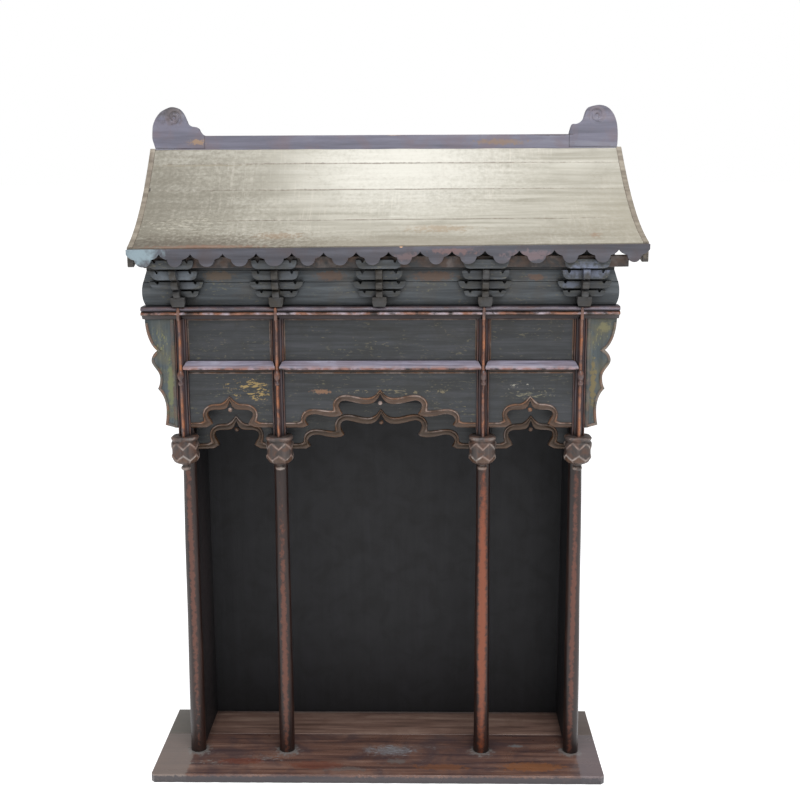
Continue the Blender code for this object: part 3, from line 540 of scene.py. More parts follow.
PLANK = Finish(
    "weathered roof plank", "bare_plank", "948f80", "b0ab9d", "c4c0b3", streaks=75.0, contrast=0.24,
    cloud="979284", cloud_amount=0.6, cloud_size=9.0, worn="b0957c", worn_pale="c9c2b4",
    edge_wear=0.3, grime_and_shade="5a5046", grime_and_shade_amount=0.5, fleck="8b8272", fleck_amount=0.35,
    roughness=0.50, sheen_change=0.10, relief=0.35, smears=0.45,
    patches=(
        # Painted sheen: a lighter patch at the middle top, where the overhead light shines back, and painted
        # shade in darker patches towards the sides and the eave, where the roof catches less of it.
        Patch((0.05, 0.110, 1.14), (0.30, 0.20, 0.20), "e2dfd4", 0.6, 0.5, 0.9),
        Patch((-0.52, 0.0, 1.08), (0.46, 0.40, 0.40), "6f695b", 0.85, 0.5, 0.9),
        Patch((0.55, -0.06, 1.05), (0.30, 0.20, 0.20), "9c9482", 0.7, 0.5, 0.9),
        Patch((0.02, -0.115, 1.02), (0.60, 0.070, 0.05), "857c6b", 0.6, 0.6, 1.0, Form.SQUARE),
        Patch((-0.35, -0.115, 1.02), (0.34, 0.060, 0.05), "544b3f", 0.75, 0.7, 1.0),
        Patch((-0.33, -0.045, 1.05), (0.11, 0.030, 0.03), "c9c3b2", 0.5, 1.6, 0.5, Form.DASHED),
        Patch((-0.169, -0.080, 1.03), (0.055, 0.018, 0.02), "94775a", 0.45, 1.2, 0.9),
        Patch((0.114, -0.060, 1.04), (0.080, 0.016, 0.02), "9c8468", 0.5, 1.2, 0.8),
        Patch((0.391, -0.0869, 1.027), (0.014, 0.014, 0.02), "937055", 0.5, 1.1, 0.9),
        Patch((-0.30, -0.118, 1.01), (0.14, 0.010, 0.02), "8e6a58", 0.6, 1.0, 0.8),
        Patch((-0.425, 0.0448, 1.109), (0.006, 0.005, 0.01), "3c3630", 0.9, 0.6),
        Patch((-0.425, -0.0513, 1.0435), (0.004, 0.004, 0.01), "e6e2d8", 0.9, 0.5),
        *(Patch((0.02, y, z), (0.55, 0.0020, 0.01), "66584a", 0.7, 0.8, 0.9)
          for y, z in ((-0.0300, 1.0554), (0.0433, 1.1076), (0.0956, 1.1553))),
        Patch((-0.3355, 0.0924, 1.152), (0.100, 0.0022, 0.01), "8f8672", 0.6, 1.2),
    ),
)


def curve(stretches: Sequence[Sequence[Flat]], steps: int) -> Array:
    """Points along joined cubic stretches, each from a to d by way of b and c.

    Formula: (1-t)^3 a + 3 t (1-t)^2 b + 3 t^2 (1-t) c + t^3 d, for t from 0 to 1.

    Args:
        stretches: four (across, up) points for each stretch.
        steps: points on each stretch.

    Returns:
        The points, the last stretch's end included.
    """
    t = np.linspace(0.0, 1.0, steps, endpoint=False)[:, None]
    a, b, c, d = (np.asarray(stretches, float)[:, k, None, :] for k in range(4))
    body = (1 - t) ** 3 * a + 3 * t * (1 - t) ** 2 * b + 3 * t**2 * (1 - t) * c + t**3 * d
    return np.vstack([body.reshape(-1, 2), d[-1]])


def through(points: Sequence[Flat], corners: Sequence[int], steps: int) -> Array:
    """Smooth line through points, with a sharp turn at some of them.

    Formula: a + (b - a)(3 t^2 - 2 t^3) + u (t^3 - 2 t^2 + t) + v (t^3 - t^2) from each point a to the next,
    b, where u and v are half the way between their neighbours, or the step itself at a sharp turn.

    Args:
        points: (across, up) points.
        corners: numbers of the points where it turns sharply.
        steps: points on each stretch.

    Returns:
        The points, the last one included.
    """
    p = np.asarray(points, float)
    ahead, behind = np.roll(p, -1, axis=0) - p, p - np.roll(p, 1, axis=0)
    leave = (ahead + behind) / 2
    arrive = leave.copy()
    sharp = [0, len(p) - 1, *corners]
    leave[sharp], arrive[sharp] = ahead[sharp], behind[sharp]
    t = np.linspace(0.0, 1.0, steps, endpoint=False)[:, None]
    a, b, u, v = p[:-1, None], p[1:, None], leave[:-1, None], arrive[1:, None]
    body = a + (b - a) * (3 * t**2 - 2 * t**3) + u * (t**3 - 2 * t**2 + t) + v * (t**3 - t**2)
    return np.vstack([body.reshape(-1, 2), p[-1]])


def sideways(line: Array, closed: bool) -> Array:
    """Mitred left-hand direction at each point of a flat line.

    Formula: the sum of the unit normals of the two segments there, divided by 1 plus their dot product,
    and kept under twice a normal's length.

    Args:
        line: points, (n, 2).
        closed: whether the last point joins the first.

    Returns:
        Directions, (n, 2).
    """
    ahead = np.roll(line, -1, axis=0) - line
    normal = np.stack([-ahead[:, 1], ahead[:, 0]], axis=1)
    normal /= np.maximum(np.linalg.norm(normal, axis=1, keepdims=True), 1e-12)
    if not closed:
        normal[-1] = normal[-2]
    before = np.roll(normal, 1, axis=0)
    if not closed:
        before[0] = normal[0]
    mitre = (normal + before) / np.maximum(1.0 + np.sum(normal * before, axis=1, keepdims=True), 0.25)
    length = np.linalg.norm(mitre, axis=1, keepdims=True)
    return mitre * np.minimum(1.0, 2.0 / np.maximum(length, 1e-9))


def beside(line: Array, distance: float) -> Array:
    """Line a distance to the left of an open one, without the loops that its corners make.

    Formula: line + distance * mitred normal; a point that ends up nearer to the line than the distance
    lies in a loop and is left out.

    Args:
        line: points, (n, 2).
        distance: how far to the left.

    Returns:
        The points that stay.
    """
    moved = line + distance * sideways(line, False)
    gap = np.linalg.norm(moved[:, None, :] - line[None, :, :], axis=2).min(axis=1)
    return moved[gap > 0.97 * abs(distance)]


def slab(outline: Array, front: float, back: float, soft: float = 0.0008, across: str = "xz") -> Array:
    """Rings of a board of a closed outline, its edges rounded.

    Formula: ring k is the outline moved inwards by soft (1 - cos a), at soft (1 - sin a) from a face,
    for a from 0 to a right angle.

    Args:
        outline: points of the outline, (n, 2).
        front: where its front face lies.
        back: where its back face lies.
        soft: radius of the edges.
        across: "xz" for a board that faces the front, "yz" for one that faces the side.

    Returns:
        Rings, (rings, n, 3).
    """
    x, z = outline[:, 0], outline[:, 1]
    area = np.sum(x * np.roll(z, -1) - np.roll(x, -1) * z)
    inwards = sideways(outline, True) * np.sign(area)
    angle = np.linspace(0.0, math.pi / 2, 4)
    inset = soft * (1 - np.cos(angle))
    depth = soft * (1 - np.sin(angle)) * np.sign(back - front)
    insets = np.concatenate([inset[::-1], inset])
    places = np.concatenate([back - depth[::-1], front + depth])
    rings = outline[None] + insets[:, None, None] * inwards[None]
    third = np.broadcast_to(places[:, None], rings.shape[:2])
    order = (rings[..., 0], third, rings[..., 1]) if across == "xz" else (third, rings[..., 0], rings[..., 1])
    return np.stack(order, axis=-1)


def carried(line: Array, profile: Array, face: float) -> Array:
    """Rings of a moulding: a closed profile carried along a flat line on the front.

    Formula: point (i, j) = line i + mitred normal i * reach j, at face - height j.

    Args:
        line: points in x and z, (n, 2).
        profile: reach to the left of the line and height above the face, (m, 2).
        face: y of the face that it stands on.

    Returns:
        Rings, (n, m, 3).
    """
    normal = sideways(line, False)
    flat = line[:, None, :] + normal[:, None, :] * profile[None, :, :1]
    y = np.broadcast_to(face - profile[None, :, 1], flat.shape[:2])
    return np.stack([flat[..., 0], y, flat[..., 1]], axis=-1)


def drawn(section: Array, start: float, end: float, steps: int, along: str = "x") -> Array:
    """Rings of a straight moulding: a closed section drawn along one axis, slightly uneven by hand.

    Formula: section + 0.15 mm * sin(waves of the place along the axis).

    Args:
        section: points of (y, z) for a moulding along X, or (x, y) for one along Z, (m, 2).
        start: where it begins.
        end: where it ends.
        steps: rings.
        along: "x" or "z".

    Returns:
        Rings, (steps, m, 3).
    """
    t = np.linspace(start, end, steps)[:, None]
    sway = 0.00015 * (np.sin(31.0 * t) + np.sin(83.0 * t + 1.0))
    first = section[None, :, 0] + sway
    second = section[None, :, 1] + (sway if along == "x" else 0.0)
    order = (t, first, second) if along == "x" else (first, second, t)
    return np.stack(np.broadcast_arrays(*order), axis=-1)


def turned(rows: Sequence[Flat], centre: Flat, sides: int) -> Array:
    """Rings of a turned shape: (height, radius) rows around an upright line.

    Formula: (cx + r cos a, cy + r sin a, z).

    Args:
        rows: heights and radii, from the bottom up.
        centre: x and y of the line.
        sides: points on each ring.

    Returns:
        Rings, (rows, sides, 3).
    """
    z, r = (np.asarray(rows, float)[:, k, None] for k in (0, 1))
    a = np.linspace(0.0, 2 * math.pi, sides, endpoint=False)[None, :]
    return np.stack([centre[0] + r * np.cos(a), centre[1] + r * np.sin(a), z + 0 * a], axis=-1)


def half_round(radius: float, height: float, sink: float, sides: int = 9) -> Array:
    """Closed profile of a rounded bead: a half ellipse that stands on a foot sunk into the board.

    Formula: (radius cos a, height sin a) for a from 0 to a half turn, and the foot at -sink.
    """
    a = np.linspace(0.0, math.pi, sides)
    arc = np.stack([radius * np.cos(a), height * np.sin(a)], axis=1)
    return np.vstack([[radius, -sink], arc, [-radius, -sink]])


@dataclass
class Shell:
    """Closed surfaces gathered into one piece, with how worn each of their points is and how much of the
    finish's second colour it has: brown, or, in places, painted shade.
    """

    points: list[Array] = field(default_factory=list)
    faces: list[list[int]] = field(default_factory=list)
    wear: list[Array] = field(default_factory=list)
    lining: list[Array] = field(default_factory=list)
    count: int = 0

    def add(self, rings: Array, wear: Array | float = 0.0, lining: Array | float = 0.0) -> "Shell":
        """Add a surface of closed rings, one after another, with a face over each end.

        Args:
            rings: (rings, points, 3).
            wear: how worn, 0 to 1, for all, each ring (rings, 1) or each point of a ring (1, points).
            lining: how much it has the finish's second colour, given in the same way.

        Returns:
            The shell itself.
        """
        rows, columns = rings.shape[:2]
        number = np.arange(rows * columns).reshape(rows, columns) + self.count
        first, second = number[:-1], number[1:]
        quads = np.stack([first, np.roll(first, -1, 1), np.roll(second, -1, 1), second], axis=-1)
        self.faces += quads.reshape(-1, 4).tolist()
        self.faces += [number[0, ::-1].tolist(), number[-1].tolist()]
        self.points.append(rings.reshape(-1, 3))
        self.wear.append(np.broadcast_to(np.asarray(wear, float), (rows, columns)).reshape(-1))
        self.lining.append(np.broadcast_to(np.asarray(lining, float), (rows, columns)).reshape(-1))
        self.count += rows * columns
        return self

    def finish(self, name: str, finish: Finish, nodes: Sequence[str], angle: float = 32.0) -> None:
        """Make the piece, dress it and let it stand for nodes of the solids.

        Args:
            name: name of the piece.
            finish: what it is finished with.
            nodes: nodes that it replaces.
            angle: edges sharper than this, in degrees, stay sharp.
        """
        mesh = bpy.data.meshes.new(name)
        mesh.from_pydata(np.vstack(self.points).tolist(), [], self.faces)
        for mark, values in (("wear", self.wear), ("lining", self.lining)):
            mesh.attributes.new(mark, "FLOAT", "POINT").data.foreach_set("value", np.concatenate(values))
        shape = bmesh.new()
        shape.from_mesh(mesh)
        bmesh.ops.recalc_face_normals(shape, faces=shape.faces)
        shape.to_mesh(mesh)
        shape.free()
        mesh.shade_smooth()
        mesh.set_sharp_from_angle(angle=math.radians(angle))
        mesh.materials.append(finish.material())
        piece = bpy.data.objects.new(name, mesh)
        bpy.context.scene.collection.objects.link(piece)
        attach(piece, "root")
        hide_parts(*nodes)
        log.info("%s: %d faces", name, len(mesh.polygons))


def dress(finish: Finish, *nodes: str) -> None:
    """Give nodes of the solids a finish of the scene."""
    for node in nodes:
        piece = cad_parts[node]
        for place in piece.material_slots:
            place.material = finish.material()
        log.info("%s: dressed", node)


MM = 0.001
SPOTS = ("outer_left", "inner_left", "inner_right", "outer_right")
FRONT_ARCH_X = {"left": -0.2655, "centre": 0.0098, "right": 0.2830}
REAR_ARCH_X = {"left": -0.2608, "centre": 0.0098, "right": 0.2883}


@dataclass
class Base:
    """The base board: two worn planks."""

    edge: float = 0.0016

    def plank(self, node: str, rounded_front: bool) -> Array:
        """Rings of one plank, its outline dented by wear along the outer edges.

        Args:
            node: node that it replaces.
            rounded_front: whether its outer corners are at the front.

        Returns:
            Rings from the underside up.
        """
        (x0, y0, z0), (x1, y1, z1) = low(node), high(node)
        x = np.linspace(x0, x1, 140)
        dent = 0.0006 * (np.sin(37 * x) * np.sin(91 * x + 1.3)) ** 2 + 0.0003 * (1 + np.sin(260 * x)) / 2
        corner = 0.006 * np.maximum(0.0, 1 - np.minimum(x - x0, x1 - x) / 0.006) ** 2
        outer = dent + (corner if rounded_front else 0.0)
        front = np.stack([x, y0 + outer], axis=1) if rounded_front else np.stack([x, y0 + 0 * x], axis=1)
        back = np.stack([x[::-1], np.full(len(x), y1)], axis=1)
        outline = np.vstack([front, back])
        flat = slab(outline, z1, z0, self.edge)
        return np.stack([flat[..., 0], flat[..., 2], flat[..., 1]], axis=-1)

    def build(self) -> None:
        """Make both planks."""
        for side, finish in (("front", BASE_FRONT), ("back", BASE_BACK)):
            node = "base_plank_" + side
            Shell().add(self.plank(node, side == "front")).finish(node + "_worn", finish, [node])


@dataclass
class Columns:
    """Four slim columns, shaped by hand and not quite round."""

    sides: int = 40
    rows: int = 60
    flat: float = 0.00035

    def build(self) -> None:
        """Make the columns from the places and sizes of the solids."""
        for number, spot in enumerate(SPOTS):
            node = "column_" + spot
            co = np.array([v.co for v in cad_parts[node].data.vertices])
            z0, z1 = co[:, 2].min(), co[:, 2].max()
            foot, top = co[co[:, 2] < z0 + 0.001], co[co[:, 2] > z1 - 0.001]
            z = np.linspace(z0, z1, self.rows)[:, None]
            t = (z - z0) / (z1 - z0)
            centre = [foot[:, k].mean() + (top[:, k].mean() - foot[:, k].mean()) * t for k in (0, 1)]
            r0, r1 = (np.ptp(ring[:, 0]) / 2 for ring in (foot, top))
            a = np.linspace(0, 2 * math.pi, self.sides, endpoint=False)[None, :]
            facets = np.cos(8 * a + number) * 0.5 + np.sin(3 * a + 17 * z + number) * 0.5
            r = r0 + (r1 - r0) * t - self.flat * (1 + facets + 0.6 * np.sin(23 * z + 2 * a + 2 * number))
            rings = np.stack([centre[0] + r * np.cos(a), centre[1] + r * np.sin(a), z + 0 * a], axis=-1)
            Shell().add(rings).finish(node + "_handmade", COLUMN, [node])


@dataclass
class HangingPosts:
    """Moulded posts of the frieze, with their pegs, pendants and the small crosses on the upper rail."""

    face: float = -0.0775
    peg_radius: float = 0.0060
    back: float = -0.0635
    half: float = 0.01125
    nose_half: float = 0.0026
    nose_proud: float = 0.0180
    top: float = 0.9030
    foot: float = 0.6652

    def section(self, x: float) -> tuple[Array, Array]:
        """Section from above, and how worn each of its points is.

        Args:
            x: middle of the post.

        Returns:
            Points (x, y), and wear: the nose and the small beads beside it are rubbed bare.
        """
        side = (
            (self.half, 0.0, 0.0), (self.half, 0.0024, 0.0), (self.half - 0.0006, 0.0038, 0.25),
            (self.half - 0.0014, 0.0042, 0.35), (self.half - 0.0024, 0.0038, 0.2),
            (self.half - 0.0032, 0.0026, 0.0),
            (self.half - 0.0060, 0.0052, 0.0), (self.nose_half + 0.0020, 0.0100, 0.0),
            (self.nose_half + 0.0004, 0.0130, 0.1), (self.nose_half, 0.0150, 0.6),
            (self.nose_half * 0.86, 0.0168, 1.0), (self.nose_half * 0.50, self.nose_proud, 1.0),
        )
        right = np.array([(x + dx, self.face - proud) for dx, proud, _ in side])
        left = np.array([(x - dx, self.face - proud) for dx, proud, _ in side[::-1]])
        rear = np.array([(x - self.half, self.back), (x + self.half, self.back)])
        wear = [w for _, _, w in side]
        return np.vstack([rear, right, left]), np.array([0.0, 0.0] + wear + wear[::-1])

    def cross(self, x: float, low_z: float, high_z: float) -> Array:
        """Rings of the nose's short end that crosses the upper rail: a slim ridge with a rounded top."""
        half = self.nose_half
        outline = np.array([(x - half, low_z), (x + half, low_z), (x + half, high_z - 0.003),
                            (x + 0.0016, high_z - 0.0006), (x, high_z), (x - 0.0016, high_z - 0.0006),
                            (x - half, high_z - 0.003)])
        return slab(outline, self.face - 0.0222, self.face - 0.0100, 0.0014)

    def peg(self, x: float) -> Array:
        """Rings of a peg: a collar, a waist and a bud with a blunt point."""
        z0, z1 = low("peg_inner_left")[2], high("peg_inner_left")[2]
        shape = (
            (0.0, 0.25), (0.03, 0.55), (0.09, 0.80), (0.17, 0.86), (0.25, 0.78), (0.31, 0.58), (0.35, 0.52),
            (0.40, 0.66), (0.50, 0.90), (0.60, 1.0), (0.70, 1.0), (0.80, 0.90), (0.89, 0.68), (0.96, 0.38),
            (1.0, 0.12),
        )
        rows = [(z0 + (z1 - z0) * t, self.peg_radius * r) for t, r in shape]
        return turned(rows, (x, self.face - self.nose_proud), 20)

    def pendant(self, x: float, y: float, half: float, z0: float, z1: float) -> tuple[Array, Array, Array]:
        """Rings of a carved basket, and how worn and how brown its points are.

        Formula: radius = half * outline(height) * squareness(angle), raised by ridges along two zig-zag
        lines, which go up and down with the distance of the angle from the nearest sixth of a turn.

        Args:
            x: middle across.
            y: middle in depth.
            half: half its width.
            z0: height of the tip.
            z1: height of the rim.

        Returns:
            Rings, wear and brown.
        """
        bulb, basket, rim = np.linspace(0.0, 0.26, 14), np.linspace(0.28, 0.94, 40), np.linspace(0.95, 1.0, 7)
        t = np.concatenate([bulb, basket, rim])
        outline = np.array((
            (0.0, 0.07), (0.015, 0.22), (0.05, 0.33), (0.11, 0.33), (0.15, 0.22), (0.18, 0.24), (0.21, 0.46),
            (0.25, 0.70), (0.30, 0.85), (0.36, 0.93), (0.48, 0.95), (0.65, 0.94), (0.80, 0.95), (0.865, 0.86),
            (0.90, 0.96), (0.96, 0.98), (1.0, 0.86),
        ))
        width = np.interp(t, outline[:, 0], outline[:, 1])[:, None]
        t = t[:, None]
        a = np.linspace(0.0, 2 * math.pi, 120, endpoint=False)[None, :]
        front = a + math.pi / 2
        body = np.clip((t - 0.24) / 0.08, 0.0, 1.0)
        square = 1 + 0.055 * body * (1 - np.cos(4 * front)) / 2 - 0.03 * body
        sixth = math.pi / 3
        zig = np.abs((front / sixth + 0.5) % 1.0 - 0.5) * 2
        upper, lower = 0.667 + 0.173 * zig, 0.490 - 0.140 * zig
        line = np.minimum(np.abs(t - upper), np.abs(t - lower))
        stem = np.exp(-(((1 - zig) / 0.10) ** 2)) * (t < lower) * 0.8
        ridge = np.maximum(np.exp(-((line / 0.026) ** 2)) * np.clip((0.86 - t) / 0.02, 0.0, 1.0), stem) * body
        lip = np.exp(-(((t - 0.955) / 0.03) ** 2)) * (0.5 + 0.5 * np.cos(4 * front + math.pi))
        petal = np.clip((lower - t) / 0.1, 0.0, 1.0) * body * np.abs(np.sin(3 * front)) ** 0.6
        carving = 0.060 * ridge - 0.035 * body + 0.045 * lip - 0.03 * petal
        r = half * np.minimum((width * square + carving) / 1.01, 1.0)
        z = z0 + (z1 - z0) * (t + 0.03 * lip * (t > 0.97))
        rings = np.stack([x + r * np.cos(a), y + 0.92 * r * np.sin(a), np.minimum(z, z1) + 0 * a], axis=-1)
        bead = np.exp(-(((t - 0.08) / 0.05) ** 2))
        brown = np.clip((lower - t) / 0.04, 0.0, 1.0) * body * 0.7
        return rings, np.clip(1.1 * ridge + 0.6 * lip + 0.8 * bead + 0 * a, 0.0, 1.0), brown

    def build(self) -> None:
        """Make the four posts with what is on them."""
        rail = low("rail_upper")[2]
        for spot in SPOTS:
            node = "hanging_post_" + spot
            x = middle(node)[0]
            section, wear = self.section(x)
            post = Shell().add(drawn(section, self.foot, rail, 50, "z"), wear[None, :])
            post.add(self.cross(x, rail - 0.001, self.top), 0.75)
            post.finish(node + "_moulded", BEADED, [node])
            Shell().add(self.peg(x), 0.35).finish("peg_" + spot + "_turned", BEADED, ["peg_" + spot])
            start, end = low("pendant_" + spot), high("pendant_" + spot)
            shape = self.pendant(x, middle("pendant_" + spot)[1], (end[0] - start[0]) / 2, start[2], end[2])
            Shell().add(*shape).finish("pendant_" + spot + "_carved", CARVED, ["pendant_" + spot], 45.0)


@dataclass
class Rails:
    """Upper rail of two beads with a groove, and the lower rails with a sloped top and a bead."""

    face: float = -0.0775

    def upper_section(self, z0: float, z1: float) -> tuple[Array, Array, Array]:
        """Section (y, z) of the upper rail, and how worn and how brown its points are."""
        rows = (
            (-0.014, z0, 0, 0), (-0.014, z1, 0, 0), (0.0140, z1, 0, 0.6), (0.0168, z1 - 0.0006, 0.2, 0.3),
            (0.0190, z1 - 0.0022, 0.3, 0), (0.0200, z1 - 0.0040, 0.1, 0), (0.0197, z1 - 0.0056, 0, 0),
            (0.0182, z1 - 0.0070, 0, 0), (0.0140, z1 - 0.0078, 0, 0.4), (0.0140, z1 - 0.0090, 0, 0.8),
            (0.0172, z1 - 0.0095, 0.2, 1), (0.0196, z1 - 0.0106, 0.9, 1), (0.0210, z1 - 0.0124, 1, 1),
            (0.0205, z1 - 0.0140, 0.5, 1), (0.0188, z1 - 0.0152, 0, 1), (0.0120, z1 - 0.0166, 0, 1),
            (0.0090, z1 - 0.0200, 0, 0.8), (0.0060, z0, 0, 0.8),
        )
        wear, brown = (np.array([row[k] for row in rows], float)[None, :] for k in (2, 3))
        return np.array([(self.face - p, z) for p, z, *_ in rows]), wear, brown

    def lower(self, node: str) -> tuple[Array, Array, Array]:
        """Rings of a lower rail from back to front, how worn they are, and how much of the dark second colour
        they get: brown along the bead, and painted shade over the whole underside.

        Formula: each ring is a rectangle, reaching (x, z), that grows along the posts' slopes and gets
        lower towards the bead along the rail's lower edge.
        """
        (x0, y0, z0), (x1, y1, z1) = low(node), high(node)
        reach = 0.0078
        rows = np.array([
            (-0.0080, 0.0, 0.0, 0.0), (0.0036, 0.0, 0.0001, 0.0001), (0.0040, 0.0, 0.0002, 0.0003),
            (0.0048, 0.0030, 0.0004, 0.0010), (0.0066, 0.0038, 0.0008, 0.0020),
            (0.0093, 0.0049, 0.0011, 0.0041), (0.0120, 0.0060, 0.0014, 0.0062),
            (0.0136, 0.0067, 0.0019, 0.0074), (0.0150, 0.0073, 0.0024, 0.0084),
            (0.0159, 0.0076, 0.0032, 0.0094), (0.0162, 0.0078, 0.0042, 0.0104),
        ])
        proud, over, below, above = (rows[:, k, None] for k in range(4))
        left, right = x0 + reach - over, x1 - reach + over
        side = np.linspace(0.0, 1.0, 40)[None, :]
        x = np.hstack([left + (right - left) * side, right + (left - right) * side])
        sway = 0.00016 * np.sin(60 * x + 1.0)
        z = np.hstack([np.repeat(z0 + below, 40, axis=1), np.repeat(z1 - above, 40, axis=1)])
        y = np.maximum(self.face - proud + np.abs(sway), y0)
        rings = np.stack([x, np.broadcast_to(y, x.shape), z + sway * (proud > 0.005) * 0.6], axis=-1)
        front = np.clip((proud - 0.0130) / 0.0025, 0.0, 1.0)
        worn = np.hstack([np.repeat(0.95 * front, 40, axis=1), np.repeat(0.45 * front, 40, axis=1)])
        # The whole underside gets the dark second colour: painted shade under the rail.
        brown = np.hstack([np.repeat(1.0 + 0 * proud, 40, axis=1), np.repeat(0.25 * front, 40, axis=1)])
        return rings, worn, brown

    def build(self) -> None:
        """Make the four rails."""
        start, end = low("rail_upper"), high("rail_upper")
        section, wear, brown = self.upper_section(start[2], end[2])
        upper = Shell().add(drawn(section, start[0], end[0], 90), wear, brown)
        upper.finish("rail_upper_beaded", RAILED, ["rail_upper"])
        for bay in ("left", "centre", "right"):
            shape = self.lower("rail_lower_" + bay)
            Shell().add(*shape).finish(f"rail_lower_{bay}_beaded", SLOPED, ["rail_lower_" + bay])


@dataclass
class Frieze:
    """Panels between the posts, each in a slim fillet, and the cusped aprons under them.

    The arches' right halves are points (across, up) in millimetres from the middle of the cut's foot.
    """

    ball: float = 0.0040
    ball_drop: float = 0.0165
    steps: int = 6
    proud: float = 0.0025
    flat: float = 0.0094
    front_foot: float = 0.6792
    rear_foot: float = 0.6300
    rear_rise: float = 1.08
    centre_cut: tuple = (
        (141.1, 0.3), (132.5, 4.6), (136.4, 10.3), (137.3, 15.5), (134.5, 20.2), (128.4, 23.9),
        (117, 24.9), (101.5, 21.7), (85.1, 20.2), (74.6, 21.7), (69.1, 25.2), (73.6, 32.3),
        (76, 39.8), (74.5, 45.9), (69.7, 49.5), (62.9, 50.4), (53.8, 48.6), (41.1, 45.6),
        (30.1, 44.1), (19.2, 44.5), (11.9, 47.2), (6.7, 51.3), (2.9, 56.5), (0, 62.1),
    )
    centre_bead: tuple = (
        (153, 9.6), (146.8, 11.8), (144.9, 16.5), (144.5, 21.5), (140.4, 28.8), (132.5, 33.1),
        (123.3, 34.8), (110.5, 34), (97.8, 32.3), (91.4, 31.8), (87, 31.8), (86.2, 37.9),
        (86.5, 44.1), (83.2, 51.7), (76.8, 57.5), (68.7, 60.6), (58.3, 61), (46.5, 59),
        (34.6, 56.4), (23.7, 55.6), (14.6, 57.8), (7.7, 61.9), (3.6, 67.1), (0, 70.8),
    )
    side_cut: tuple = (
        (44.2, 0.6), (32.9, 6.8), (36.4, 13.8), (40.4, 20.3), (41.5, 26.3), (38.9, 30.6),
        (32.1, 33.1), (20.2, 33.6), (10.1, 34.9), (4.8, 39), (2.2, 44.6), (0, 49.3),
    )
    side_bead: tuple = (
        (56, 9.5), (49.3, 12.8), (50, 18.1), (50.7, 25.9), (47, 35.3), (38.5, 41.8),
        (28.4, 44.3), (17.4, 45), (10.1, 49.1), (4.4, 54.7), (2.2, 57.1), (0, 59),
    )

    def fillet(self, x0: float, x1: float, z0: float, z1: float, face: float) -> Array:
        """Rings of a slim half-round frame inside a rectangle, as four strips laid end to end."""
        w = 0.0013
        line = np.array([(x0 + w, z0 + w), (x0 + w, z1 - w), (x1 - w, z1 - w), (x1 - w, z0 + w)])
        return carried(line, half_round(w, 0.0012, 0.001, 5), face)

    def edge(self, bay: str, upper: bool, middle_x: float, ends: Flat, bottom: float, rise: float) -> Array:
        """Cut edge of an apron, or its bead's upper edge, from left to right: flat, cusped arch, flat.

        Args:
            bay: left, centre or right.
            upper: whether it is the bead's upper edge.
            middle_x: middle of the arch.
            ends: where the apron begins and ends.
            bottom: height of the flat cut edge.
            rise: how much taller than the front ones the arch is.

        Returns:
            Points (x, z).
        """
        if bay == "centre":
            points, corners = self.centre_bead if upper else self.centre_cut, (1, 10)
        else:
            points, corners = self.side_bead if upper else self.side_cut, (1,)
        arch = through(points, corners, self.steps) * (MM, MM * rise)
        right = arch + (middle_x, bottom)
        left = arch * (-1.0, 1.0) + (middle_x, bottom)
        foot = bottom + (self.flat if upper else 0.0)
        out = np.linspace(0.0, 1.0, self.steps, endpoint=False)[:, None]
        first = np.array([ends[0], foot]) * (1 - out) + left[0] * out
        last = right[0] * out + np.array([ends[1], foot]) * (1 - out)
        return np.vstack([first, left[:-1], right[::-1], last[::-1]])

    def apron(self, node: str, bay: str, middle_x: float, bottom: float, rise: float) -> None:
        """Make one apron: board, bead along the cut, the lines under the rail and the ball under the peak.

        Args:
            node: node that it replaces.
            bay: left, centre or right.
            middle_x: middle of the arch.
            bottom: height of the flat cut edge.
            rise: how much taller than the front ones the arch is.
        """
        (x0, y0, z0), (x1, y1, z1) = low(node), high(node)
        face = y0 + self.proud
        inner = (x0 + 0.0003, x1 - 0.0003)
        cut = self.edge(bay, False, middle_x, inner, bottom, rise)
        bead = self.edge(bay, True, middle_x, inner, bottom, rise)
        outline = np.vstack([(cut + bead) / 2, [[x1, z1], [x0, z1]]])
        outline[0, 0], outline[-3, 0] = x0, x1
        piece = Shell().add(slab(outline, face, y1, 0.0))
        across = np.array([0, 0, 0.06, 0.18, 0.35, 0.52, 0.63, 0.70, 0.78, 0.88, 0.96, 1, 1])[None, :, None]
        rise_of = np.array([-3.08, 0, 0.55, 0.92, 1.0, 0.85, 0.45, 0.50, 0.90, 0.95, 0.55, 0, -1.2])[None, :]
        wavy = 0.94 + 0.06 * np.sin(210.0 * cut[:, :1] + 3.0) * np.sin(97.0 * cut[:, :1])
        proud = self.proud * np.where(rise_of > 0, rise_of * wavy, rise_of)
        flat = cut[:, None, :] * (1 - across) + bead[:, None, :] * across
        rings = np.stack([flat[..., 0], face - proud, flat[..., 1]], axis=-1)
        worn = np.array([0, 0.5, 0.5, 0.1, 0.05, 0, 0, 0.2, 0.85, 0.95, 0.5, 0, 0])[None, :]
        piece.add(rings, worn, 1.0)
        peak = cut[:, 1].max()
        middle_z = peak - self.ball_drop
        rows = [(middle_z - self.ball * math.cos(a), self.ball * math.sin(a) + 1e-4)
                for a in np.linspace(0, math.pi, 11)]
        piece.add(turned(rows, (middle_x, face + 0.0020), 18), 1.0)
        if "front" in node:
            # The upper line is left almost unworn so that it stays dark, as painted shadow under the rail;
            # the lower one is worn lighter, partly wear and partly a painted highlight.
            for drop, half, wear in ((0.0012, 0.0012, 0.1), (0.0052, 0.0015, 0.55)):
                line = np.array([(x0 + 0.0002, z1 - drop), (x1 - 0.0002, z1 - drop)])
                piece.add(carried(line, half_round(half, 0.0014, 0.001, 6), face), wear, 0.85)
        # Rear aprons take the darker copy of the panel paint: painted shade.
        piece.finish(node + "_cusped", PANEL if "front" in node else SHADED_PANEL, [node])

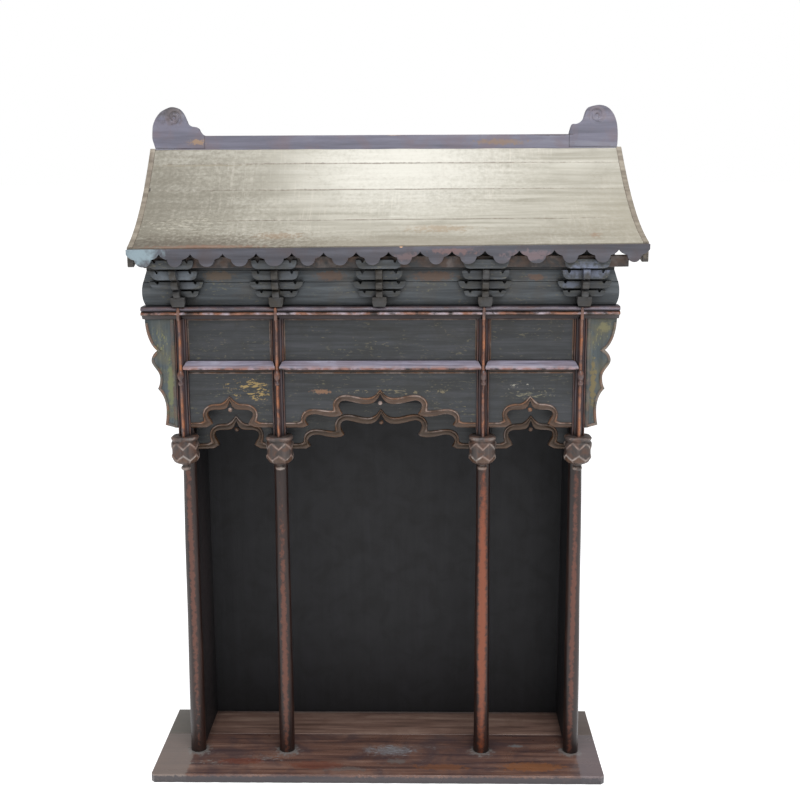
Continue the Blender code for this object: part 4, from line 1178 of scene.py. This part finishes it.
    def build(self) -> None:
        """Make the panels and aprons."""
        for bay in ("left", "centre", "right"):
            node = "frieze_panel_" + bay
            (x0, y0, z0), (x1, y1, z1) = low(node), high(node)
            board = slab(np.array([(x0, z0), (x1, z0), (x1, z1), (x0, z1)]), y0, y1, 0.0003)
            panel = Shell().add(board).add(self.fillet(x0, x1, z0, z1, y0), 0.3, 0.8)
            panel.finish(node + "_framed", PANEL, [node])
            self.apron("front_apron_" + bay, bay, FRONT_ARCH_X[bay], self.front_foot, 1.0)
            self.apron("rear_apron_" + bay, bay, REAR_ARCH_X[bay], self.rear_foot, self.rear_rise)


@dataclass
class Wings:
    """Cusped boards at the sides of the frieze, with a bead along the cusped edge."""

    steps: int = 10
    bead: float = 0.0026
    foot: float = 0.6785
    corner_x: float = 0.3755
    strip_half: float = 0.0034
    outer: tuple = (
        ((0.4255, 0.8800), (0.4255, 0.8550), (0.4180, 0.8320), (0.4055, 0.8220)),
        ((0.4055, 0.8220), (0.4110, 0.8185), (0.4165, 0.8110), (0.4165, 0.8035)),
        ((0.4165, 0.8035), (0.4165, 0.7940), (0.4020, 0.7850), (0.4020, 0.7725)),
        ((0.4020, 0.7725), (0.4020, 0.7630), (0.4040, 0.7570), (0.4070, 0.7515)),
        ((0.4070, 0.7515), (0.3990, 0.7440), (0.3930, 0.7300), (0.3930, 0.7145)),
        ((0.3930, 0.7145), (0.3930, 0.7030), (0.3940, 0.6930), (0.3960, 0.6840)),
    )

    def build(self) -> None:
        """Make both wings, the left one a mirror of the right."""
        for side, name in ((-1, "left"), (1, "right")):
            node = "wing_board_" + name
            (x0, y0, z0), (x1, y1, z1) = low(node), high(node)
            inner = x1 if side < 0 else x0
            rim = curve(self.outer, self.steps)
            rim = np.vstack([rim, [(self.corner_x, self.foot)]])
            rim[:, 0] = FRAME_X + side * rim[:, 0]
            rim[:, 1] = np.minimum(rim[:, 1], z1)
            outline = np.vstack([rim, [(inner, self.foot), (inner, z1)]])
            piece = Shell().add(slab(outline, y0, y1, 0.0006))
            path = beside(rim[1:], -side * self.bead * 1.05)
            path = path[path[:, 1] < z1 - 0.001]
            profile = half_round(self.bead, 0.0024, 0.002, 7)
            worn = np.concatenate([[0.0], np.full(len(profile) - 2, 0.8), [0.0]])[None, :]
            piece.add(carried(path, profile, y0), worn)
            strip_x = inner + side * (self.strip_half + 0.0004)
            strip = np.array([(strip_x, z0 + 0.0007), (strip_x, z1 - 0.0004)])
            piece.add(carried(strip, half_round(self.strip_half, 0.0016, 0.001, 6), y0), 0.35)
            piece.finish(node + "_beaded", WING, [node])


@dataclass
class Bands:
    """Bracket panel, strip beam, head board and eave purlin above the upper rail."""

    def build(self) -> None:
        """Make the boards with slightly rounded edges."""
        (_, y0, z0), (_, y1, z1) = low("bracket_panel"), high("bracket_panel")
        side = ((0.4225, z0), (0.4265, z0 + 0.0070), (0.4290, z0 + 0.0160), (0.4280, z0 + 0.0290))
        top = ((0.4280, z0 + 0.0290), (0.4275, z1 - 0.0082), (0.4265, z1 - 0.0042), (0.4255, z1))
        right = curve((side, top), 10)
        outline = np.vstack([right, right[::-1] * (-1, 1)]) + (FRAME_X, 0.0)
        Shell().add(slab(outline, y0, y1, 0.0012)).finish("bracket_panel_eased", BANDS, ["bracket_panel"])
        (x0, y0, z0), (x1, y1, z1) = low("strip_beam"), high("strip_beam")
        slant = 0.0070
        outline = np.array([(x1, z0), (x1 - slant, z1), (x0 + slant, z1), (x0, z0)])
        Shell().add(slab(outline, y0, y1, 0.0008)).finish("strip_beam_eased", BANDS, ["strip_beam"])
        (x0, y0, z0), (x1, y1, z1) = low("eave_purlin"), high("eave_purlin")
        ease = 0.0012
        lower = [(y0, z0 + ease), (y0 + ease, z0), (y1, z0)]
        upper = [(y1, z1), (y0 + ease, z1), (y0, z1 - ease)]
        section = np.array(lower + upper)
        purlin = Shell().add(drawn(section, x0, x1, 60), np.array([0.3, 0.3, 0, 0, 0.5, 0.5])[None, :])
        # The purlin and the head board take the darker copy of the panel paint: painted shade under the eave.
        purlin.finish("eave_purlin_eased", SHADED_PANEL, ["eave_purlin"])
        dress(SHADED_PANEL, "head_board")


@dataclass
class BracketSets:
    """Five stacks of boat-shaped arms with beaked arms that point forward between them."""

    face: float = -0.0775
    base: float = 0.9041
    arms: tuple = ((0.0380, 0.9205, 0.9315, 0.0040, 0.0130), (0.0480, 0.9350, 0.9485, 0.0028, 0.0142),
                   (0.0420, 0.9525, 0.9690, 0.0165, 0.0265), (0.0405, 0.9728, 0.9890, 0.0328, 0.0405))
    beaks: tuple = ((0.9185, 0.9352, 0.0285), (0.9342, 0.9525, 0.0355), (0.9515, 0.9737, 0.0410))
    beak_half: float = 0.0062
    places: tuple = (-0.3620, -0.1840, 0.0, 0.1880, 0.3640)
    lean: tuple = (-0.09, 0.0, 0.0, 0.0, 0.02)
    upright_z: float = 0.9400
    sunk: float = 0.0003
    foot_reach: float = 0.0240
    head_reach: float = 0.0190
    head_half: float = 0.0060
    head_z: float = 0.9690
    foot: tuple = ((-0.0105, 0.0), (0.0105, 0.0), (0.0130, 0.0072),
                   (0.0130, 0.0172), (-0.0130, 0.0172), (-0.0130, 0.0072))

    def arm(self, x: float, whole: bool, shape: Sequence[float]) -> Array:
        """Rings of an arm across: blunt ends cut away below, and a notch before each end block.

        Args:
            x: middle across.
            whole: whether its left half is there.
            shape: half length, lower and upper height, and how far from the panel it begins and ends.

        Returns:
            The rings.
        """
        half, z0, z1, near, far = shape
        h = z1 - z0
        right = np.array([
            (0.72, 0.0), (0.84, 0.08), (0.92, 0.26), (0.975, 0.58), (1.0, 0.92), (0.985, 1.0),
            (0.79, 1.0), (0.76, 0.92), (0.735, 0.72), (0.70, 0.66), (0.665, 0.78), (0.64, 1.0),
        ]) * (half, h)
        left = right[::-1] * (-1, 1) if whole else np.array([(0.0, h), (0.0, 0.0)])
        outline = np.vstack([right, left]) + (x, z0)
        return slab(outline, self.face - far, self.face - near, 0.0009)

    def beak(self, x: float, z0: float, z1: float, reach: float) -> Array:
        """Rings of an arm that points forward and ends in a rounded scroll."""
        h = z1 - z0
        tip = self.face - reach
        a = np.linspace(-math.pi / 2, math.pi / 2, 9)
        scroll = np.stack([tip + 0.0060 * (1 - np.cos(a)), z0 + h * (0.5 + 0.42 * np.sin(a))], axis=1)
        back = self.face - self.sunk
        outline = np.vstack([[(back, z0), (tip + 0.010, z0)], scroll, [(tip + 0.0095, z1), (back, z1)]])
        return slab(outline, x - self.beak_half, x + self.beak_half, 0.0014, "yz")

    def build(self) -> None:
        """Make the five sets on the panel above the upper rail."""
        for number in range(1, 6):
            node = f"bracket_set_{number}"
            x = FRAME_X + self.places[number - 1]
            top = high(node)[2]
            stack = Shell()
            foot = np.array(self.foot) + (x, self.base)
            back = self.face - self.sunk
            # The foot block takes the dark second colour almost wholly: painted shadow, where it sits in
            # shade under the arms.
            stack.add(slab(foot, self.face - self.foot_reach, back, 0.0010), 0.1, 0.9)
            for place, arm in enumerate(self.arms):
                stack.add(self.arm(x, number > 1 or place > 0, arm))
            for beak in self.beaks:
                stack.add(self.beak(x, *beak), 0.12, 0.85)
            x0, x1 = x - self.head_half, x + self.head_half
            head = np.array([(x0, self.head_z), (x1, self.head_z), (x1, top), (x0, top)])
            stack.add(slab(head, self.face - self.head_reach, back, 0.0008), 0.0, 0.3)
            lean = self.lean[number - 1]
            for points in stack.points:
                points[:, 0] += lean * (points[:, 2] - self.upright_z)
            stack.finish(node + "_carved", BRACKET, [node])


@dataclass
class Roof:
    """Planks on a concave slope, barge boards at its sides and the scalloped fascia at the eave."""

    eave_y: float = -0.1310
    ridge_y: float = 0.1216
    eave_z: float = 1.0118
    ridge_z: float = 1.1823
    eave_x: float = 0.0252
    ridge_x: float = 0.0154
    eave_half: float = 0.4554
    ridge_half: float = 0.4509
    sag: float = 0.0037
    bend: float = 0.40
    seams: tuple = (0.0, 0.40, 0.69, 0.897, 1.0)
    thick: float = 0.010
    start: float = 0.0412
    plank_inset: float = 0.0098
    barge_depth: float = 0.038
    hook_depth: float = 0.86
    hook_run: float = 0.08
    fascia_height: float = 0.0310
    shoulder_run: float = 0.0143
    shoulder_rise: float = 0.0128
    cusp_rise: float = 0.0226
    scallops: tuple = (0.0574, 0.0550, 0.0567, 0.0586, 0.0624, 0.0552, 0.0567, 0.0564,
                       0.0550, 0.0549, 0.0573, 0.0595, 0.0607, 0.0558, 0.0559, 0.0533)

    def point(self, u: Array, s: Array, drop: Array, inset: float) -> Array:
        """Points of the roof.

        Formula: z = eave + rise (bend s + (1 - bend) s^2) + sag u (1 - s) - drop, and x and y change
        evenly from the eave at s = 0 to the ridge at s = 1.

        Args:
            u: from -1 at the left edge to 1 at the right.
            s: place up the slope.
            drop: depth below the surface.
            inset: how far inside the edges.

        Returns:
            The points, with a last axis of three.
        """
        half = self.eave_half + (self.ridge_half - self.eave_half) * s - inset
        x = self.eave_x + (self.ridge_x - self.eave_x) * s + u * half
        y = self.eave_y + (self.ridge_y - self.eave_y) * s
        rise = (self.ridge_z - self.eave_z) * (self.bend * s + (1 - self.bend) * s**2)
        z = self.eave_z + rise + self.sag * u * (1 - s) - drop
        return np.stack(np.broadcast_arrays(x, y, z), axis=-1)

    def plank(self, number: int) -> Array:
        """Rings of one plank, a section up the slope carried from side to side, slightly worn and cupped."""
        rows, columns, joint, ease = 13, 90, 0.0006, 0.0010
        low_s = max(self.seams[number - 1], self.start) + joint
        high_s = self.seams[number] - joint
        t = np.linspace(0.0, 1.0, rows)
        top = low_s + (high_s - low_s) * t
        s = np.concatenate([top, top[::-1]])
        eased = ease * np.maximum(0.0, 1 - np.minimum(t, 1 - t) / 0.04)
        drop = np.concatenate([eased, np.full(rows, self.thick)])
        u = np.linspace(-1.0, 1.0, columns)[:, None]
        dent = 0.0004 * (1 + np.sin(9 * u + 5 * number) * np.sin(23 * u + 3 * s)) * (drop < self.thick)
        return self.point(u, s[None, :], drop[None, :] + dent, self.plank_inset)

    def barge(self, side: int) -> Array:
        """Rings of a barge board, from the hooked foot up to the ridge."""
        s = np.concatenate([np.linspace(0.0, self.hook_run, 9), np.linspace(1.5 * self.hook_run, 1.0, 23)])
        s = s * (1 - self.start) + self.start
        turn = np.clip((s - self.start) / self.hook_run, 0.0, 1.0)
        rounded = np.sqrt(1 - (1 - turn) ** 2)
        depth = (self.barge_depth * (self.hook_depth + (1 - self.hook_depth) * rounded))[:, None]
        s = s[:, None]
        inset = np.array([0.0, 0.0, 0.0009, 0.0086, 0.0095, 0.0095])
        lift = np.array([1.0, 0.0, 0.0, 0.0, 0.0, 1.0])
        drop = lift * depth + (1 - lift) * np.array([0.0, 0.0, -0.0008, -0.0008, 0.0, 0.0])
        half = self.eave_half + (self.ridge_half - self.eave_half) * s
        u = side * (half - inset[None, :]) / half
        return self.point(u, s, drop, 0.0)

    def fascia(self) -> Array:
        """Rings of the scalloped fascia: round lobes with concave shoulders that rise to pointed cusps."""
        start = -self.eave_half
        lower = []
        for width in self.scallops:
            half = width / 2 * self.eave_half * 2 / sum(self.scallops)
            lobe_half = half - self.shoulder_run
            shoulder = ((half, self.cusp_rise), (half - 0.0030, self.cusp_rise - 0.0055),
                        (half - 0.0080, self.shoulder_rise + 0.0010), (lobe_half, self.shoulder_rise))
            lobe = ((lobe_half, self.shoulder_rise), (lobe_half - 0.0008, 0.0060), (lobe_half * 0.60, 0.0),
                    (0.0, 0.0))
            right = curve((shoulder, lobe), 8)
            lower.append(np.vstack([right * (-1, 1), right[-2:0:-1]]) + (start + half, 0.0))
            start += 2 * half
        ends = np.array([(self.eave_half, self.cusp_rise), (self.eave_half, self.fascia_height),
                         (-self.eave_half, self.fascia_height)])
        outline = np.vstack([*lower, ends])
        outline[:, 1] += self.eave_z - self.fascia_height + self.sag * outline[:, 0] / self.eave_half
        outline[:, 0] += self.eave_x
        return slab(outline, self.eave_y, self.eave_y + 0.010, 0.0006)

    def build(self) -> None:
        """Make the roof's pieces."""
        for number in range(1, 5):
            node = f"roof_plank_{number}"
            Shell().add(self.plank(number)).finish(node + "_weathered", PLANK, [node])
        for side, name in ((-1, "left"), (1, "right")):
            Shell().add(self.barge(side)).finish(f"barge_board_{name}_eased", BARGE, ["barge_board_" + name])
        Shell().add(self.fascia()).finish("fascia_board_scalloped", FASCIA, ["fascia_board"], 40.0)


@dataclass
class Ridge:
    """Ridge board and the curled ornaments at its ends."""

    height: float = 0.0780
    curl_radius: float = 0.0165
    left_eye: Flat = (0.43, 0.745)
    right_eye: Flat = (0.44, 0.76)
    left: tuple = (
        (0.050, 0.0), (0.030, 0.10), (0.0, 0.24), (0.004, 0.39), (0.020, 0.56), (0.077, 0.73), (0.173, 0.878),
        (0.290, 0.963), (0.385, 1.0), (0.480, 0.98), (0.558, 0.915), (0.615, 0.805), (0.663, 0.66),
        (0.692, 0.578), (0.750, 0.537), (0.827, 0.52), (0.885, 0.476), (0.913, 0.402), (0.952, 0.341),
        (1.0, 0.31),
    )
    right: tuple = (
        (0.010, 0.0), (0.0, 0.13), (0.0, 0.30), (0.021, 0.54), (0.074, 0.735), (0.158, 0.88), (0.263, 0.969),
        (0.389, 1.0), (0.516, 0.98), (0.610, 0.94), (0.663, 0.855), (0.690, 0.76), (0.716, 0.663),
        (0.768, 0.595), (0.853, 0.554), (0.926, 0.549), (0.958, 0.494), (0.983, 0.398), (1.0, 0.31),
    )

    def curl(self, x: float, z: float, face: float, side: int) -> tuple[Array, Array]:
        """Rings of a round boss with a spiral groove.

        Formula: height = 1.6 mm * (1 - (r / R)^4) less 2.8 mm * exp(-(d / 1.7 mm)^2), where d is the
        distance in r from the line r = R (0.84 - 0.50 turn), and less a pit in the middle.

        Args:
            x: middle across.
            z: middle height.
            face: y of the face that it lies on.
            side: 1 for the left ornament, -1 for the right.

        Returns:
            Rings and wear.
        """
        radius = self.curl_radius
        r = np.linspace(radius, 0.0006, 30)[:, None]
        a = np.linspace(0.0, 2 * math.pi, 84, endpoint=False)[None, :]
        spiral = radius * (0.84 - 0.50 * ((a / (2 * math.pi) + 0.30) % 1.0))
        groove = np.exp(-((np.abs(r - spiral) / 0.0017) ** 2)) + np.exp(-((r / 0.0032) ** 4))
        height = 0.0016 * (1 - (r / radius) ** 4) - 0.0028 * np.minimum(groove, 1.0)
        flat = np.stack([x + side * r * np.cos(a), face - height, z + r * np.sin(a)], axis=-1)
        foot = flat[:1] + (0.0, 0.003, 0.0)
        wear = np.vstack([np.zeros((1, 84)), 0.12 * (1 - np.minimum(groove, 1.0)) + 0 * a])
        return np.concatenate([foot, flat]), wear

    def build(self) -> None:
        """Make the ridge board and both ornaments."""
        ends = ((1, "left", self.left, self.left_eye), (-1, "right", self.right, self.right_eye))
        for side, name, shares, eye in ends:
            node = "ridge_ornament_" + name
            start, end = low(node), high(node)
            width = end[0] - start[0]
            edge = start[0] if side > 0 else end[0]
            outline = np.vstack([through(shares, (0,), 5), [(1.0, 0.0)]]) * (side * width, self.height)
            outline = np.clip(outline + (edge, start[2]), (start[0], start[2]), (end[0], end[2]))
            front = low("ridge_board")[1]
            piece = Shell().add(slab(outline, front, end[1], 0.0016))
            x, z = edge + side * eye[0] * width, start[2] + eye[1] * self.height
            piece.add(*self.curl(x, z, front, side)).finish(node + "_curled", TRIM, [node], 45.0)
        dress(TRIM, "ridge_board")


@dataclass
class Studio:
    """Camera at the photograph's angle, a pale floor and soft light from above and in front."""

    place: Point = (0.0867, -2.2001, 1.1565)
    yaw: float = -0.0192
    pitch: float = 0.198
    roll: float = -0.0045
    focal_pixels: float = 1187.1
    picture: float = 800.0

    def camera(self) -> None:
        """Make the camera from its place and three turns."""
        ahead = math.cos(self.pitch)
        forward = Vector((math.sin(self.yaw) * ahead, math.cos(self.yaw) * ahead, -math.sin(self.pitch)))
        level = Vector((math.cos(self.yaw), -math.sin(self.yaw), 0.0))
        upright = level.cross(forward)
        right = math.cos(self.roll) * level + math.sin(self.roll) * upright
        up = -math.sin(self.roll) * level + math.cos(self.roll) * upright
        data = bpy.data.cameras.new("camera")
        data.sensor_width = 36.0
        data.lens = data.sensor_width * self.focal_pixels / self.picture
        camera = bpy.data.objects.new("camera", data)
        turn = Matrix((right, up, -forward)).transposed().to_4x4()
        camera.matrix_world = Matrix.Translation(self.place) @ turn
        bpy.context.scene.collection.objects.link(camera)
        bpy.context.scene.camera = camera

    def lamp(self, name: str, place: Point, aim: Point, size: Flat, power: float, colour: Colour) -> None:
        """Make a rectangular soft light that shines from a place to another."""
        data = bpy.data.lights.new(name, "AREA")
        data.shape = "RECTANGLE"
        data.size, data.size_y = size
        data.energy = power
        data.color = colour
        lamp = bpy.data.objects.new(name, data)
        lamp.location = place
        lamp.rotation_euler = (Vector(aim) - Vector(place)).to_track_quat("-Z", "Y").to_euler()
        bpy.context.scene.collection.objects.link(lamp)

    def floor(self) -> None:
        """Make the pale floor."""
        mesh = bpy.data.meshes.new("floor")
        reach = 60.0
        corners = [(-reach, -reach, 0.0), (reach, -reach, 0.0), (reach, reach, 0.0), (-reach, reach, 0.0)]
        mesh.from_pydata(corners, [], [(0, 1, 2, 3)])
        recipe = Recipe("pale floor")
        settings = {
            "Base Color": (0.90, 0.90, 0.90, 1.0), "Roughness": 0.9, "Specular IOR Level": 0.1,
            "Emission Color": (1.0, 1.0, 1.0, 1.0), "Emission Strength": 0.75,
        }
        for name, value in settings.items():
            recipe.shader.inputs[name].default_value = value
        mesh.materials.append(recipe.material)
        floor = bpy.data.objects.new("floor", mesh)
        bpy.context.scene.collection.objects.link(floor)

    def build(self) -> None:
        """Make the camera, floor, sky and lights."""
        self.camera()
        self.floor()
        world = bpy.data.worlds.new("studio")
        world.use_nodes = True
        sky = world.node_tree.nodes["Background"]
        sky.inputs["Color"].default_value = (1.0, 1.0, 1.0, 1.0)
        path = world.node_tree.nodes.new("ShaderNodeLightPath")
        strength = world.node_tree.nodes.new("ShaderNodeMapRange")
        strength.inputs["To Min"].default_value = 0.42
        strength.inputs["To Max"].default_value = 1.0
        world.node_tree.links.new(path.outputs["Is Camera Ray"], strength.inputs["Value"])
        world.node_tree.links.new(strength.outputs["Result"], sky.inputs["Strength"])
        bpy.context.scene.world = world
        bpy.context.scene.view_settings.view_transform = "Standard"
        self.lamp("overhead", (0.1, -0.9, 3.2), (0.0, 0.0, 0.9), (1.8, 1.2), 46.0, (0.92, 0.95, 1.0))
        self.lamp("front", (0.7, -2.6, 2.4), (0.0, 0.0, 0.7), (1.4, 1.2), 26.0, (1.0, 0.98, 0.95))


def main() -> None:
    """Build the studio and every part of the shrine."""
    logging.basicConfig(level=logging.INFO, format="%(message)s")
    parts = (Studio, Base, Columns, HangingPosts, Rails, Frieze, Wings, Bands, BracketSets, Roof, Ridge)
    for part in parts:
        part().build()
        log.info("%s done", part.__name__)
    dress(WALL, "back_panel", "side_panel_left", "side_panel_right")
    dress(WALL, "rear_lintel", "tie_beam_left", "tie_beam_right")
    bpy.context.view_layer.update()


if __name__ == "__main__":
    main()
